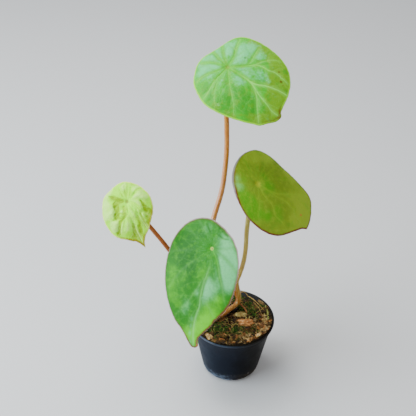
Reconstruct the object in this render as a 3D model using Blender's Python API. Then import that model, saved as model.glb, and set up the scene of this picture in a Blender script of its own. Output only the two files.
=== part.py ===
"""Potted begonia in a small plastic nursery pot.

Pot, chopped bark and moss substrate, a creeping rhizome, four petioles and four shield-shaped
leaves. Units are metres and +Z is up. The origin is the centre of the pot's resting face, and
-Y is the front. Lengths in the tables below are in millimetres and are scaled by MM.
"""

import math
import random

import bmesh
import bpy
from mathutils import Matrix, Vector, noise

MM = 0.001
GAP = 0.3
SEED = 11

# Pot: a thin plastic cup with a low collar under its lip and drainage notches round its foot
POT_HEIGHT = 57.0
RIM_RADIUS = 37.5
LIP_HEIGHT = 0.9
LIP_OVERHANG = 0.6
COLLAR_HEIGHT = 5.2
COLLAR_TAPER = 0.7
COLLAR_STEP = 0.9
BASE_RADIUS = 26.0
BASE_CORNER = 6.0
CORNER_SWEEP = 77
POT_WALL = 1.0
POT_SEGMENTS = 48
CORNER_STEPS = 3
NOTCH_COUNT = 8
NOTCH_WIDTH = 4.6
NOTCH_HEIGHT = 2.9
NOTCH_INNER_RADIUS = 22.0
NOTCH_OVERREACH = 2.0
POT_COLOUR = (0.018, 0.021, 0.028)

# Substrate
SOIL_LEVEL = 53.0
SOIL_MOUND = 2.0
SOIL_RELIEF = 0.8
SOIL_SLUMP = 1.0
SOIL_EDGE_DROP = 1.6
LUMP_PITCH = 0.16
CRUMB_PITCH = 0.45
RING_CROWDING = 0.85
SOIL_RINGS = 9
SOIL_SEGMENTS = 36
CHIP_COUNT = 30
CHIP_LENGTH = (3.5, 7.0)
CHIP_WIDTH = (2.5, 4.5)
CHIP_THICKNESS = (1.6, 3.0)
CHIP_LIFT = 0.15
CHIP_LEAN = 14
CHIP_ROLL = 25
CHIP_SKEW = 0.16
FIBRE_COUNT = 10
FIBRE_LENGTH = (7.0, 11.0)
FIBRE_WIDTH = 1.2
CHIP_RIM_CLEARANCE = 5.5
SOIL_COLOUR = (0.10, 0.055, 0.022)

# Leaf blades
BLADE_THICKNESS = 0.8
BLADE_COLUMNS = 58
BLADE_RINGS = (0.07, 0.18, 0.32, 0.47, 0.62, 0.77, 0.89, 1.0)
NAVEL_DEPTH = 1.1
NAVEL_RADIUS = 3.2
MARGIN_PUCKER = 0.25
PUCKER_POWER = 0.8
MARGIN_WAVE_POWER = 4
LINE_STEP = 1.0
RIB_HEIGHT = 0.7
MIDRIB_HEIGHT = 1.0
RIB_START = 2.6
RIB_RISE = 4.0

# Petioles
STALK_SIDES = 8
STALK_STEP = 6.5

SOFT_EDGE = math.radians(28)
BLADE_EDGE = math.radians(50)

# Each blade is drawn flat, hub at (0, 0), apex along +x, then bent and turned into place.
# facing: compass direction of the upper face, 0 is the front and + turns towards +X.
# tilt: how far the upper face looks up from the horizontal; spin: turn of the apex in the blade.
# veins: compass of the main veins in the flat drawing, besides the one that runs to the apex; the
# blade swells by pucker between them and has a rib under each.
# dome: fall of the blade at dome_radius from its hub; droop: extra fall of the apex.
LEAVES = {
    "leaf_1": {
        "hub": (-10.9, 40.0, 284.8), "facing": -20, "tilt": 60, "spin": 65,
        "dome": 6.0, "dome_radius": 36, "droop": 5.0, "pucker": 0.8, "wave": 0.9, "waves": 4,
        "veins": (30, 60, 110, 147, 171, 206, 250, 275, 296, 318, 339),
        "outline": ((57, 0), (54.5, -6.5), (47.5, -18), (36, -25.5), (23, -31.5), (9, -34.5), (-2, -32),
                    (-15, -24.5), (-22.3, -10), (-20.5, 6), (-16, 25), (-5.5, 32.5), (13, 36),
                    (30, 33.5), (41, 26), (48.5, 14.7), (53, 4)),
        "colour": (0.27, 0.47, 0.12),
    },
    "leaf_2": {
        "hub": (16.5, 10.0, 195.3), "facing": 38, "tilt": 55, "spin": 31,
        "dome": 3.5, "dome_radius": 32, "droop": 5.0, "pucker": 0.5, "wave": 1.2, "waves": 3,
        "veins": (25, 48, 76, 101, 128, 155, 212, 246, 270, 302, 334),
        "outline": ((57, 0.5), (52.5, -3.5), (48, -10), (37, -24), (23, -30.5), (6, -30.5), (-9, -22.5),
                    (-19, -11), (-24, 2), (-23, 16.5), (-15, 29.5), (-2.5, 33.5), (13, 31), (29, 29),
                    (46, 26.5), (53, 17), (56.3, 8)),
        "colour": (0.20, 0.27, 0.035),
    },
    "leaf_3": {
        "hub": (-89.8, 0.0, 182.4), "facing": -22, "tilt": 48, "spin": 35,
        "dome": 5.5, "dome_radius": 24, "droop": 3.5, "pucker": 1.7, "wave": 0.7, "waves": 5,
        "veins": (22, 42, 70, 114, 160, 193, 223, 252, 278, 311, 337),
        "outline": ((37, 0), (34, -1.8), (31, -5), (27, -12), (23, -18.5), (15.5, -22.5), (4, -24.5),
                    (-9, -20), (-16.5, -9.5), (-17.5, 1.5), (-11.5, 11.5), (-0.5, 18.5), (8, 19),
                    (15.5, 16.7), (25, 10.2), (29.5, 5), (33, 2)),
        "colour": (0.52, 0.62, 0.22),
    },
    "leaf_4": {
        "hub": (-20.2, -25.0, 155.3), "facing": -28, "tilt": 40, "spin": 3.2,
        "dome": 4.5, "dome_radius": 42, "droop": 7.0, "pucker": 0.7, "wave": 1.1, "waves": 3,
        "veins": (30, 62, 100, 145, 183, 218, 250, 288, 324, 344),
        "outline": ((84, -1.5), (79.5, -5.5), (72, -12.3), (64, -22), (49, -30.5), (31, -36.5), (13, -38),
                    (-3, -35), (-17, -25), (-23, -11), (-20, 2), (-10.5, 17), (4, 25), (20, 26.8),
                    (37, 25.5), (53, 17), (62.5, 12), (71.5, 4.5), (77.5, 0.5)),
        "colour": (0.20, 0.42, 0.14),
    },
}

# Petiole centre lines from the rhizome up. The last stretch, square to the blade, is added later.
PETIOLES = {
    "petiole_1": {
        "leaf": "leaf_1", "radius": (2.3, 1.75), "run_in": 10,
        "route": ((-13.2, 6.3, 58.3), (-14.2, 6.3, 66), (-18.5, 6, 82), (-22.5, 8.5, 108), (-21.8, 14, 135),
                  (-18.6, 20, 152.8), (-12.3, 29, 175.2), (-10.2, 33, 190.7), (-8.8, 38, 209.2),
                  (-9, 42, 226.2), (-9.6, 44.5, 240)),
        "colour": (0.50, 0.22, 0.07),
    },
    "petiole_2": {
        "leaf": "leaf_2", "radius": (1.8, 1.55), "run_in": 13,
        "route": ((-11.5, -1, 59.4), (-7.4, 1.4, 60.2), (-0.8, 8.3, 60.6), (3.6, 12.6, 61.2), (5.7, 13.6, 64.5),
                  (5.7, 13.3, 69), (4.9, 12.7, 76), (3.2, 12, 85), (3.1, 12, 90), (4.9, 12, 96.5),
                  (7.2, 12.6, 106), (8.9, 13.5, 117), (9.5, 14.3, 129), (9.5, 14.6, 142), (10.2, 14.8, 157.5)),
        "colour": (0.42, 0.28, 0.10),
    },
    "petiole_3": {
        "leaf": "leaf_3", "radius": (1.6, 1.3), "run_in": 10,
        "route": ((-18.5, -2, 59), (-21, -2.2, 67), (-30, -2.2, 86), (-43, -1.5, 112), (-55.6, 0.5, 133.6),
                  (-71.2, 2.5, 156)),
        "colour": (0.42, 0.14, 0.035),
    },
    "petiole_4": {
        "leaf": "leaf_4", "radius": (1.8, 1.6), "run_in": 12,
        "route": ((-8.8, 4.4, 57), (-5.6, 8, 57.2), (-0.6, 12.4, 57.4), (4, 16.8, 59), (4.9, 17.8, 63.5),
                  (3.4, 17, 69), (1.7, 16.3, 77), (-0.6, 14.5, 88), (-4.2, 9, 106), (-9.5, -1.5, 130)),
        "colour": (0.45, 0.20, 0.08),
    },
}

RHIZOME_ROUTE = ((-3.5, 12.5, 52), (-8, 7.5, 56), (-13, 1.5, 58), (-18.5, -4.5, 59), (-22.5, -9, 60.6),
                 (-24.4, -11.4, 62.8))
RHIZOME_RADII = (2.6, 4.2, 4.7, 4.3, 2.6, 0.7)
RHIZOME_SIDES = 12
RHIZOME_STEP = 1.6
RHIZOME_SCARS = 0.35
RHIZOME_COLOUR = (0.22, 0.15, 0.07)

# Loose pieces big enough to pick out: centre, size along, across and up, turn about +Z, colour
BARK_PIECES = {
    "bark_pale": ((8.2, 3.4, 55.4), (9.6, 5.2, 2.0), 8, (0.55, 0.44, 0.20)),
    "bark_rust": ((12.2, -6.8, 55.2), (10.4, 7.2, 3.6), -14, (0.38, 0.16, 0.06)),
    "bark_straw": ((-19.5, -24.5, 54.2), (9.5, 3.4, 1.8), 118, (0.50, 0.36, 0.14)),
}
TWIG_ROUTE = ((7.2, 17.5, 56.2), (9.6, 14.2, 56.3), (13.2, 8.6, 55.6))
TWIG_RADII = (0.8, 0.6)
TWIG_SIDES = 6
TWIG_STEP = 2.5
TWIG_COLOUR = (0.28, 0.13, 0.05)


def material(name, colour, roughness):
    """Plain finish for one piece."""
    made = bpy.data.materials.new(name)
    made.use_nodes = True
    shader = made.node_tree.nodes["Principled BSDF"]
    shader.inputs["Base Color"].default_value = (*colour, 1.0)
    shader.inputs["Roughness"].default_value = roughness
    shader.inputs["Metallic"].default_value = 0.0
    made.diffuse_color = (*colour, 1.0)
    return made


def add_object(name, bm, colour=None, roughness=0.5):
    """Turn a bmesh drawn in millimetres into a named object in metres."""
    bmesh.ops.scale(bm, vec=(MM, MM, MM), verts=bm.verts)
    mesh = bpy.data.meshes.new(name)
    bm.to_mesh(mesh)
    bm.free()
    made = bpy.data.objects.new(name, mesh)
    bpy.context.scene.collection.objects.link(made)
    if colour:
        mesh.materials.append(material(name, colour, roughness))
    return made


def bake_modifiers(target):
    """Replace an object's mesh by its evaluated one, so that its cutters can go."""
    depsgraph = bpy.context.evaluated_depsgraph_get()
    baked = bpy.data.meshes.new_from_object(target.evaluated_get(depsgraph))
    target.modifiers.clear()
    target.data = baked


def combine(target, operation, helpers):
    """Join helpers to target or cut them from it in one Boolean, then remove them."""
    group = bpy.data.collections.new(target.name + "_helpers")
    bpy.context.scene.collection.children.link(group)
    for helper in helpers:
        bpy.context.scene.collection.objects.unlink(helper)
        group.objects.link(helper)
        helper.hide_render = True
        helper.display_type = "WIRE"
    boolean = target.modifiers.new("combine", "BOOLEAN")
    boolean.operation = operation
    boolean.operand_type = "COLLECTION"
    boolean.collection = group
    boolean.use_self = True
    bake_modifiers(target)
    for helper in helpers:
        bpy.data.objects.remove(helper)
    bpy.data.collections.remove(group)


def keep_largest(target):
    """Drop loose scraps that a Boolean leaves beside the main body."""
    bm = bmesh.new()
    bm.from_mesh(target.data)
    bmesh.ops.remove_doubles(bm, verts=bm.verts, dist=1e-7)
    bmesh.ops.dissolve_degenerate(bm, edges=bm.edges, dist=1e-7)
    bmesh.ops.triangulate(bm, faces=bm.faces)
    unseen = set(bm.verts)
    bodies = []
    while unseen:
        body = {unseen.pop()}
        front = list(body)
        while front:
            for edge in front.pop().link_edges:
                for vert in edge.verts:
                    if vert in unseen:
                        unseen.discard(vert)
                        body.add(vert)
                        front.append(vert)
        bodies.append(body)
    bodies.sort(key=len)
    for body in bodies[:-1]:
        bmesh.ops.delete(bm, geom=list(body), context="VERTS")
    bm.to_mesh(target.data)
    bm.free()


def smooth_path(points, step):
    """Points about a step apart on the Catmull-Rom curve through a few hand-set points."""
    knots = [Vector(p) for p in points]
    ends = [2 * knots[0] - knots[1]] + knots + [2 * knots[-1] - knots[-2]]
    path = []
    for index in range(len(knots) - 1):
        before, start, end, after = ends[index:index + 4]
        count = max(1, round((end - start).length / step))
        for part in range(count):
            t = part / count
            path.append(0.5 * (2 * start + (end - before) * t
                               + (2 * before - 5 * start + 4 * end - after) * t ** 2
                               + (3 * start - before - 3 * end + after) * t ** 3))
    path.append(knots[-1])
    return path


def lengthened(path, extra):
    """The same path run on by extra at both ends."""
    start = path[0] + (path[0] - path[1]).normalized() * extra
    end = path[-1] + (path[-1] - path[-2]).normalized() * extra
    return [start] + path[1:-1] + [end]


def blend_values(values, t):
    """Value at t in 0..1 along evenly spread values."""
    place = t * (len(values) - 1)
    index = min(int(place), len(values) - 2)
    return values[index] + (values[index + 1] - values[index]) * (place - index)


def tube(path, radii, sides):
    """Closed round rod along a path, its radius blended between the given ones."""
    bm = bmesh.new()
    rings = []
    across = Vector((1, 0, 0))
    for index, centre in enumerate(path):
        along = (path[min(index + 1, len(path) - 1)] - path[max(index - 1, 0)]).normalized()
        across = (across - across.dot(along) * along).normalized()
        other = along.cross(across)
        radius = blend_values(radii, index / (len(path) - 1))
        ring = []
        for side in range(sides):
            turn = 2 * math.pi * side / sides
            ring.append(bm.verts.new(centre + radius * (math.cos(turn) * across + math.sin(turn) * other)))
        rings.append(ring)
    for lower, upper in zip(rings, rings[1:]):
        for side in range(sides):
            after = (side + 1) % sides
            bm.faces.new((lower[side], lower[after], upper[after], upper[side]))
    bm.faces.new(reversed(rings[0]))
    bm.faces.new(rings[-1])
    return bm


def pot_profile():
    """Half section of the cup, from the middle of its underside round to the middle of its floor."""
    wall_top = POT_HEIGHT - COLLAR_HEIGHT
    collar_top = RIM_RADIUS - LIP_OVERHANG
    collar_foot = collar_top - COLLAR_TAPER
    wall_radius = collar_foot - COLLAR_STEP
    outer = [(0, 0)]
    inner = [(0, POT_WALL)]
    centre = BASE_RADIUS - BASE_CORNER
    for step in range(CORNER_STEPS + 1):
        turn = math.radians(CORNER_SWEEP) * step / CORNER_STEPS
        outer.append((centre + BASE_CORNER * math.sin(turn), BASE_CORNER * (1 - math.cos(turn))))
        shrunk = BASE_CORNER - POT_WALL
        inner.append((centre + shrunk * math.sin(turn), BASE_CORNER - shrunk * math.cos(turn)))
    outer += [(wall_radius, wall_top), (collar_foot, wall_top + COLLAR_STEP),
              (collar_top, POT_HEIGHT - 2 * LIP_HEIGHT), (RIM_RADIUS, POT_HEIGHT - LIP_HEIGHT),
              (RIM_RADIUS - 0.4 * LIP_HEIGHT, POT_HEIGHT)]
    inner += [(wall_radius - POT_WALL, wall_top), (collar_foot - POT_WALL, wall_top + COLLAR_STEP),
              (collar_top - POT_WALL, POT_HEIGHT - LIP_HEIGHT), (collar_top - 0.6 * POT_WALL, POT_HEIGHT)]
    return outer, inner


def inner_radius(height):
    """Radius of the cup's inside at a height."""
    _, inner = pot_profile()
    for (low_r, low_z), (high_r, high_z) in zip(inner[1:], inner[2:]):
        if low_z <= height <= high_z:
            return low_r + (high_r - low_r) * (height - low_z) / (high_z - low_z)
    return inner[1][0]


def make_pot():
    """Cup turned from its half section, with notches cut through the foot."""
    outer, inner = pot_profile()
    bm = bmesh.new()
    verts = [bm.verts.new((r, 0, z)) for r, z in outer + inner[::-1]]
    edges = [bm.edges.new(pair) for pair in zip(verts, verts[1:])]
    bmesh.ops.spin(bm, geom=verts + edges, cent=(0, 0, 0), axis=(0, 0, 1), angle=2 * math.pi,
                   steps=POT_SEGMENTS, use_merge=True)
    bmesh.ops.remove_doubles(bm, verts=bm.verts, dist=0.001)
    bmesh.ops.recalc_face_normals(bm, faces=bm.faces)
    pot = add_object("pot", bm, POT_COLOUR, 0.42)
    cutters = []
    for index in range(NOTCH_COUNT):
        turn = 2 * math.pi * (index + 0.5) / NOTCH_COUNT
        bm = bmesh.new()
        bmesh.ops.create_cube(bm, size=1)
        reach = BASE_RADIUS + NOTCH_OVERREACH - NOTCH_INNER_RADIUS
        bmesh.ops.scale(bm, vec=(reach, NOTCH_WIDTH, 2 * NOTCH_HEIGHT), verts=bm.verts)
        bmesh.ops.translate(bm, vec=(NOTCH_INNER_RADIUS + reach / 2, 0, 0), verts=bm.verts)
        bmesh.ops.rotate(bm, cent=(0, 0, 0), matrix=Matrix.Rotation(turn, 3, "Z"), verts=bm.verts)
        cutters.append(add_object("notch_cutter", bm))
    combine(pot, "DIFFERENCE", cutters)
    keep_largest(pot)
    pot.data.shade_smooth()
    pot.data.set_sharp_from_angle(angle=SOFT_EDGE)
    return pot


def soil_height(x, y):
    """Height of the substrate's top, a low mound with lumps."""
    reach = math.hypot(x, y) / RIM_RADIUS
    lumps = noise.noise(Vector((x * LUMP_PITCH, y * LUMP_PITCH, SEED)))
    crumbs = noise.noise(Vector((x * CRUMB_PITCH, y * CRUMB_PITCH, 1.5 * SEED)))
    slump = SOIL_SLUMP * y / RIM_RADIUS
    return SOIL_LEVEL + SOIL_MOUND * (1 - reach ** 2) - slump + SOIL_RELIEF * (1.3 * lumps + crumbs)


def chip_body(size, draw):
    """Rough block of bark: a cube with its corners pushed about."""
    bm = bmesh.new()
    bmesh.ops.create_cube(bm, size=1)
    for vert in bm.verts:
        for axis in range(3):
            vert.co[axis] *= 1 - 2 * CHIP_SKEW * draw.random()
    bmesh.ops.scale(bm, vec=size, verts=bm.verts)
    bmesh.ops.triangulate(bm, faces=bm.faces)
    return bm


def place(bm, centre, turn, lean=0.0, roll=0.0):
    """Turn a small piece by angles in degrees and move it to its centre."""
    spin = Matrix.Rotation(math.radians(turn), 3, "Z") @ Matrix.Rotation(math.radians(lean), 3, "Y")
    bmesh.ops.rotate(bm, cent=(0, 0, 0), matrix=spin @ Matrix.Rotation(math.radians(roll), 3, "X"),
                     verts=bm.verts)
    bmesh.ops.translate(bm, vec=centre, verts=bm.verts)


def make_substrate(cutters):
    """Filling of the pot, with chips and fibres fused to its top and seats for what lies in it."""
    edge_radius = inner_radius(SOIL_LEVEL - SOIL_EDGE_DROP) - 2 * GAP
    bm = bmesh.new()
    top_centre = bm.verts.new((0, 0, soil_height(0, 0)))
    bottom_centre = bm.verts.new((0, 0, POT_WALL + GAP))
    rings = []
    for ring in range(1, SOIL_RINGS + 1):
        reach = edge_radius * (ring / SOIL_RINGS) ** RING_CROWDING
        loop = []
        for index in range(SOIL_SEGMENTS):
            turn = 2 * math.pi * index / SOIL_SEGMENTS
            x = reach * math.cos(turn)
            y = reach * math.sin(turn)
            loop.append(bm.verts.new((x, y, soil_height(x, y))))
        rings.append(loop)
    for vert in rings[-1]:
        vert.co.z = SOIL_LEVEL - SOIL_EDGE_DROP - SOIL_SLUMP * vert.co.y / RIM_RADIUS
    _, inner = pot_profile()
    for r, z in inner[1:CORNER_STEPS + 2][::-1]:
        loop = []
        for index in range(SOIL_SEGMENTS):
            turn = 2 * math.pi * index / SOIL_SEGMENTS
            shrunk = r - GAP
            loop.append(bm.verts.new((shrunk * math.cos(turn), shrunk * math.sin(turn), z + GAP)))
        rings.append(loop)
    for index in range(SOIL_SEGMENTS):
        after = (index + 1) % SOIL_SEGMENTS
        bm.faces.new((top_centre, rings[0][index], rings[0][after]))
        bm.faces.new((bottom_centre, rings[-1][after], rings[-1][index]))
        for inside, outside in zip(rings, rings[1:]):
            bm.faces.new((inside[index], outside[index], outside[after], inside[after]))
    bmesh.ops.triangulate(bm, faces=bm.faces)
    soil = add_object("substrate", bm, SOIL_COLOUR, 0.95)

    draw = random.Random(SEED)
    chips = []
    for index in range(CHIP_COUNT + FIBRE_COUNT):
        reach = (edge_radius - CHIP_RIM_CLEARANCE) * math.sqrt(draw.random())
        around = 2 * math.pi * draw.random()
        x = reach * math.cos(around)
        y = reach * math.sin(around)
        if index < CHIP_COUNT:
            size = (draw.uniform(*CHIP_LENGTH), draw.uniform(*CHIP_WIDTH), draw.uniform(*CHIP_THICKNESS))
        else:
            size = (draw.uniform(*FIBRE_LENGTH), FIBRE_WIDTH, FIBRE_WIDTH)
        bm = chip_body(size, draw)
        place(bm, (x, y, soil_height(x, y) + CHIP_LIFT), draw.uniform(0, 360),
              draw.uniform(-CHIP_LEAN, CHIP_LEAN), draw.uniform(-CHIP_ROLL, CHIP_ROLL))
        chips.append(add_object("chip", bm))
    combine(soil, "UNION", chips)
    combine(soil, "DIFFERENCE", cutters)
    keep_largest(soil)
    return soil


def blade_frame(leaf):
    """World matrix of a blade: hub position in metres, x to the apex and z out of the upper face."""
    facing = math.radians(leaf["facing"])
    tilt = math.radians(leaf["tilt"])
    normal = Vector((math.sin(facing) * math.cos(tilt), -math.cos(facing) * math.cos(tilt), math.sin(tilt)))
    fall = (normal * normal.z - Vector((0, 0, 1))).normalized()
    apex_way = Matrix.Rotation(math.radians(leaf["spin"]), 3, normal) @ fall
    side_way = normal.cross(apex_way)
    turned = Matrix((apex_way, side_way, normal)).transposed().to_4x4()
    return Matrix.Translation(Vector(leaf["hub"]) * MM) @ turned


def vein_compass(leaf):
    """Directions of the main veins in degrees, from the apex all the way round to it again."""
    apex_x, apex_y = leaf["outline"][0]
    apex = math.degrees(math.atan2(apex_y, apex_x))
    return [apex, *leaf["veins"], apex + 360]


def compass_of(x, y, apex):
    """Direction of a point in degrees, from apex up to apex + 360."""
    return (math.degrees(math.atan2(y, x)) - apex) % 360 + apex


def margin_points(leaf):
    """Points round the blade's outline with one on each main vein, and True for those on a vein."""
    compass = vein_compass(leaf)
    knots = list(leaf["outline"]) + [leaf["outline"][0]]
    fine = smooth_path([(x, y, 0) for x, y in knots], LINE_STEP)
    around = [compass[-1]] + [compass_of(p.x, p.y, compass[0]) for p in fine[1:-1]] + [compass[0]]
    lengths = [0.0]
    for start, end in zip(fine, fine[1:]):
        lengths.append(lengths[-1] + (end - start).length)

    def point_at(wanted):
        index = max(i for i in range(len(fine) - 1) if lengths[i] <= wanted)
        part = (wanted - lengths[index]) / (lengths[index + 1] - lengths[index])
        return fine[index].lerp(fine[index + 1], part)

    crossings = []
    for direction in compass[::-1]:
        index = next(i for i in range(1, len(fine)) if around[i] <= direction + 1e-6 or i == len(fine) - 1)
        part = (around[index - 1] - direction) / (around[index - 1] - around[index])
        crossings.append(lengths[index - 1] + part * (lengths[index] - lengths[index - 1]))
    points = []
    for start, end in zip(crossings, crossings[1:]):
        count = 2 * max(2, round(BLADE_COLUMNS * (end - start) / lengths[-1] / 2))
        for part in range(count):
            points.append((point_at(start + (end - start) * part / count), part == 0))
    return points


def blade_height(leaf, x, y, reach):
    """Height of the upper face over the flat drawing; reach runs from 0 at the hub to 1 at the margin."""
    radius = math.hypot(x, y)
    length = leaf["outline"][0][0]
    compass = vein_compass(leaf)
    around = compass_of(x, y, compass[0])
    for start, end in zip(compass, compass[1:]):
        if start <= around <= end:
            between = (around - start) / (end - start)
    pucker = leaf["pucker"] * (4 * between * (1 - between)) ** PUCKER_POWER
    swell = math.sin(math.pi * min(1, reach) ** PUCKER_POWER) + MARGIN_PUCKER * reach
    wave = leaf["wave"] * reach ** MARGIN_WAVE_POWER * math.sin(leaf["waves"] * math.radians(around) + length)
    dome = leaf["dome"] * (radius / leaf["dome_radius"]) ** 2
    droop = leaf["droop"] * (max(0, x) / length) ** 2
    navel = NAVEL_DEPTH * math.exp(-(radius / NAVEL_RADIUS) ** 2)
    return pucker * swell + wave - dome - droop - navel


def rib_height(radius, reach, full_height):
    """How far the rib of a vein stands out of the blade's underside."""
    rise = min(1, max(0, (radius - RIB_START) / RIB_RISE))
    return full_height * rise * math.sqrt(1 - reach)


def make_leaf(name, leaf):
    """Blade with its two faces split into triangles alike, and ribs under its veins."""
    bm = bmesh.new()
    margin = margin_points(leaf)
    columns = len(margin)
    hub_height = blade_height(leaf, 0, 0, 0)
    hubs = [bm.verts.new((0, 0, hub_height - depth)) for depth in (0, BLADE_THICKNESS)]
    faces = ([], [])
    for reach in BLADE_RINGS:
        loops = ([], [])
        for column, (edge_point, on_vein) in enumerate(margin):
            x = edge_point.x * reach
            y = edge_point.y * reach
            top = blade_height(leaf, x, y, reach)
            depth = BLADE_THICKNESS
            if on_vein:
                full_height = MIDRIB_HEIGHT if column == 0 else RIB_HEIGHT
                depth += rib_height(math.hypot(x, y), reach, full_height)
            loops[0].append(bm.verts.new((x, y, top)))
            loops[1].append(bm.verts.new((x, y, top - depth)))
        faces[0].append(loops[0])
        faces[1].append(loops[1])
    for side in (0, 1):
        for column in range(columns):
            after = (column + 1) % columns
            triangles = [(hubs[side], faces[side][0][after], faces[side][0][column])]
            for inside, outside in zip(faces[side], faces[side][1:]):
                triangles.append((inside[column], inside[after], outside[after]))
                triangles.append((inside[column], outside[after], outside[column]))
            for triangle in triangles:
                bm.faces.new(triangle if side == 0 else triangle[::-1])
    top, bottom = faces[0][-1], faces[1][-1]
    for column in range(columns):
        after = (column + 1) % columns
        bm.faces.new((top[column], top[after], bottom[after]))
        bm.faces.new((top[column], bottom[after], bottom[column]))
    made = add_object(name, bm, leaf["colour"], 0.4)
    made.matrix_world = blade_frame(leaf)
    made.data.shade_smooth()
    made.data.set_sharp_from_angle(angle=BLADE_EDGE)
    return made


def petiole_path(petiole):
    """Centre line from the rhizome to just under the blade's hub, arriving square to the blade."""
    leaf = LEAVES[petiole["leaf"]]
    frame = blade_frame(leaf)
    normal = frame.col[2].to_3d()
    seat = blade_height(leaf, 0, 0, 0) - BLADE_THICKNESS - GAP
    end = Vector(leaf["hub"]) + normal * seat
    route = [Vector(p) for p in petiole["route"]]
    route += [end - normal * petiole["run_in"], end - normal * petiole["run_in"] * 0.3, end]
    return smooth_path(route, STALK_STEP)


def make_petiole(name, petiole, grow=0.0):
    """Petiole, or with grow a slightly larger copy of it that cuts its seat."""
    path = petiole_path(petiole)
    if grow:
        path = lengthened(path, grow)
    bm = tube(path, [radius + grow for radius in petiole["radius"]], STALK_SIDES)
    if grow:
        return add_object(name + "_seat", bm)
    made = add_object(name, bm, petiole["colour"], 0.45)
    made.data.shade_smooth()
    made.data.set_sharp_from_angle(angle=BLADE_EDGE)
    return made


def rhizome_tube(grow=0.0):
    """Knobbly creeping stem with ring scars, thinning to the growing tip."""
    path = smooth_path(RHIZOME_ROUTE, RHIZOME_STEP)
    radii = []
    for index in range(len(path)):
        scar = RHIZOME_SCARS if index % 2 else 0.0
        radii.append(blend_values(RHIZOME_RADII, index / (len(path) - 1)) - scar + grow)
    radii[-1] = RHIZOME_RADII[-1] + grow
    return tube(lengthened(path, grow), radii, RHIZOME_SIDES)


def make_bark(name, centre, size, turn, colour, grow=0.0):
    """One loose block of bark, or with grow the slightly larger copy that cuts its seat."""
    draw = random.Random(name)
    bm = chip_body(size, draw)
    if grow:
        bmesh.ops.scale(bm, vec=[1 + 2.6 * grow / length for length in size], verts=bm.verts)
        place(bm, centre, turn)
        return add_object(name + "_seat", bm)
    place(bm, centre, turn)
    return add_object(name, bm, colour, 0.85)


def main():
    for old in list(bpy.data.objects):
        bpy.data.objects.remove(old)

    make_pot()
    for name, leaf in LEAVES.items():
        make_leaf(name, leaf)
    for name, petiole in PETIOLES.items():
        make_petiole(name, petiole)

    rhizome = add_object("rhizome", rhizome_tube(), RHIZOME_COLOUR, 0.7)
    combine(rhizome, "DIFFERENCE", [make_petiole(name, petiole, GAP) for name, petiole in PETIOLES.items()])
    keep_largest(rhizome)

    cutters = [add_object("rhizome_seat", rhizome_tube(GAP))]
    cutters += [make_petiole(name, PETIOLES[name], GAP) for name in ("petiole_2", "petiole_4")]
    for name, (centre, size, turn, colour) in BARK_PIECES.items():
        make_bark(name, centre, size, turn, colour)
        cutters.append(make_bark(name, centre, size, turn, colour, GAP))
    twig_path = smooth_path(TWIG_ROUTE, TWIG_STEP)
    add_object("twig", tube(twig_path, TWIG_RADII, TWIG_SIDES), TWIG_COLOUR, 0.8)
    seat_radii = [radius + GAP for radius in TWIG_RADII]
    cutters.append(add_object("twig_seat", tube(lengthened(twig_path, GAP), seat_radii, TWIG_SIDES)))
    make_substrate(cutters)


main()
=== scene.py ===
"""Finished look of the potted begonia: blades with their vein nets, stalks, rhizome, pot and filling.

The frame is in metres with +Z up and -Y to the front. Lengths in the tables are in millimetres.
"""

import random
from math import atan2, cos, exp, hypot, pi, radians, sin, sqrt

import bmesh
import bpy
import numpy as np
from mathutils import Matrix, Vector, noise


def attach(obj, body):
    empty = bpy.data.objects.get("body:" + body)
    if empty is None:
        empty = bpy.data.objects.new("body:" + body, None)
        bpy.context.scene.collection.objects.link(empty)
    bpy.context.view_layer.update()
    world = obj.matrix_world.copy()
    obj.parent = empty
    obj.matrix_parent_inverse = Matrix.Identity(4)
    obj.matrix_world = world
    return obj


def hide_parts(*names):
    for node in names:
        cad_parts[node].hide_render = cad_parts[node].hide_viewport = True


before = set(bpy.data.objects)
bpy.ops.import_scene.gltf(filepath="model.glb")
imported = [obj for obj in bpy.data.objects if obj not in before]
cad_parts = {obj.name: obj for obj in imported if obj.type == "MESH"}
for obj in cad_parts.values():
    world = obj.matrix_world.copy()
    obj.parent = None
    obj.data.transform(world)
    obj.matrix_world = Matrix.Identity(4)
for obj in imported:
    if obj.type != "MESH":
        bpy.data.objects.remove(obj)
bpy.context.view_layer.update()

MM = 0.001
SEED = 23

# Blades

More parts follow.
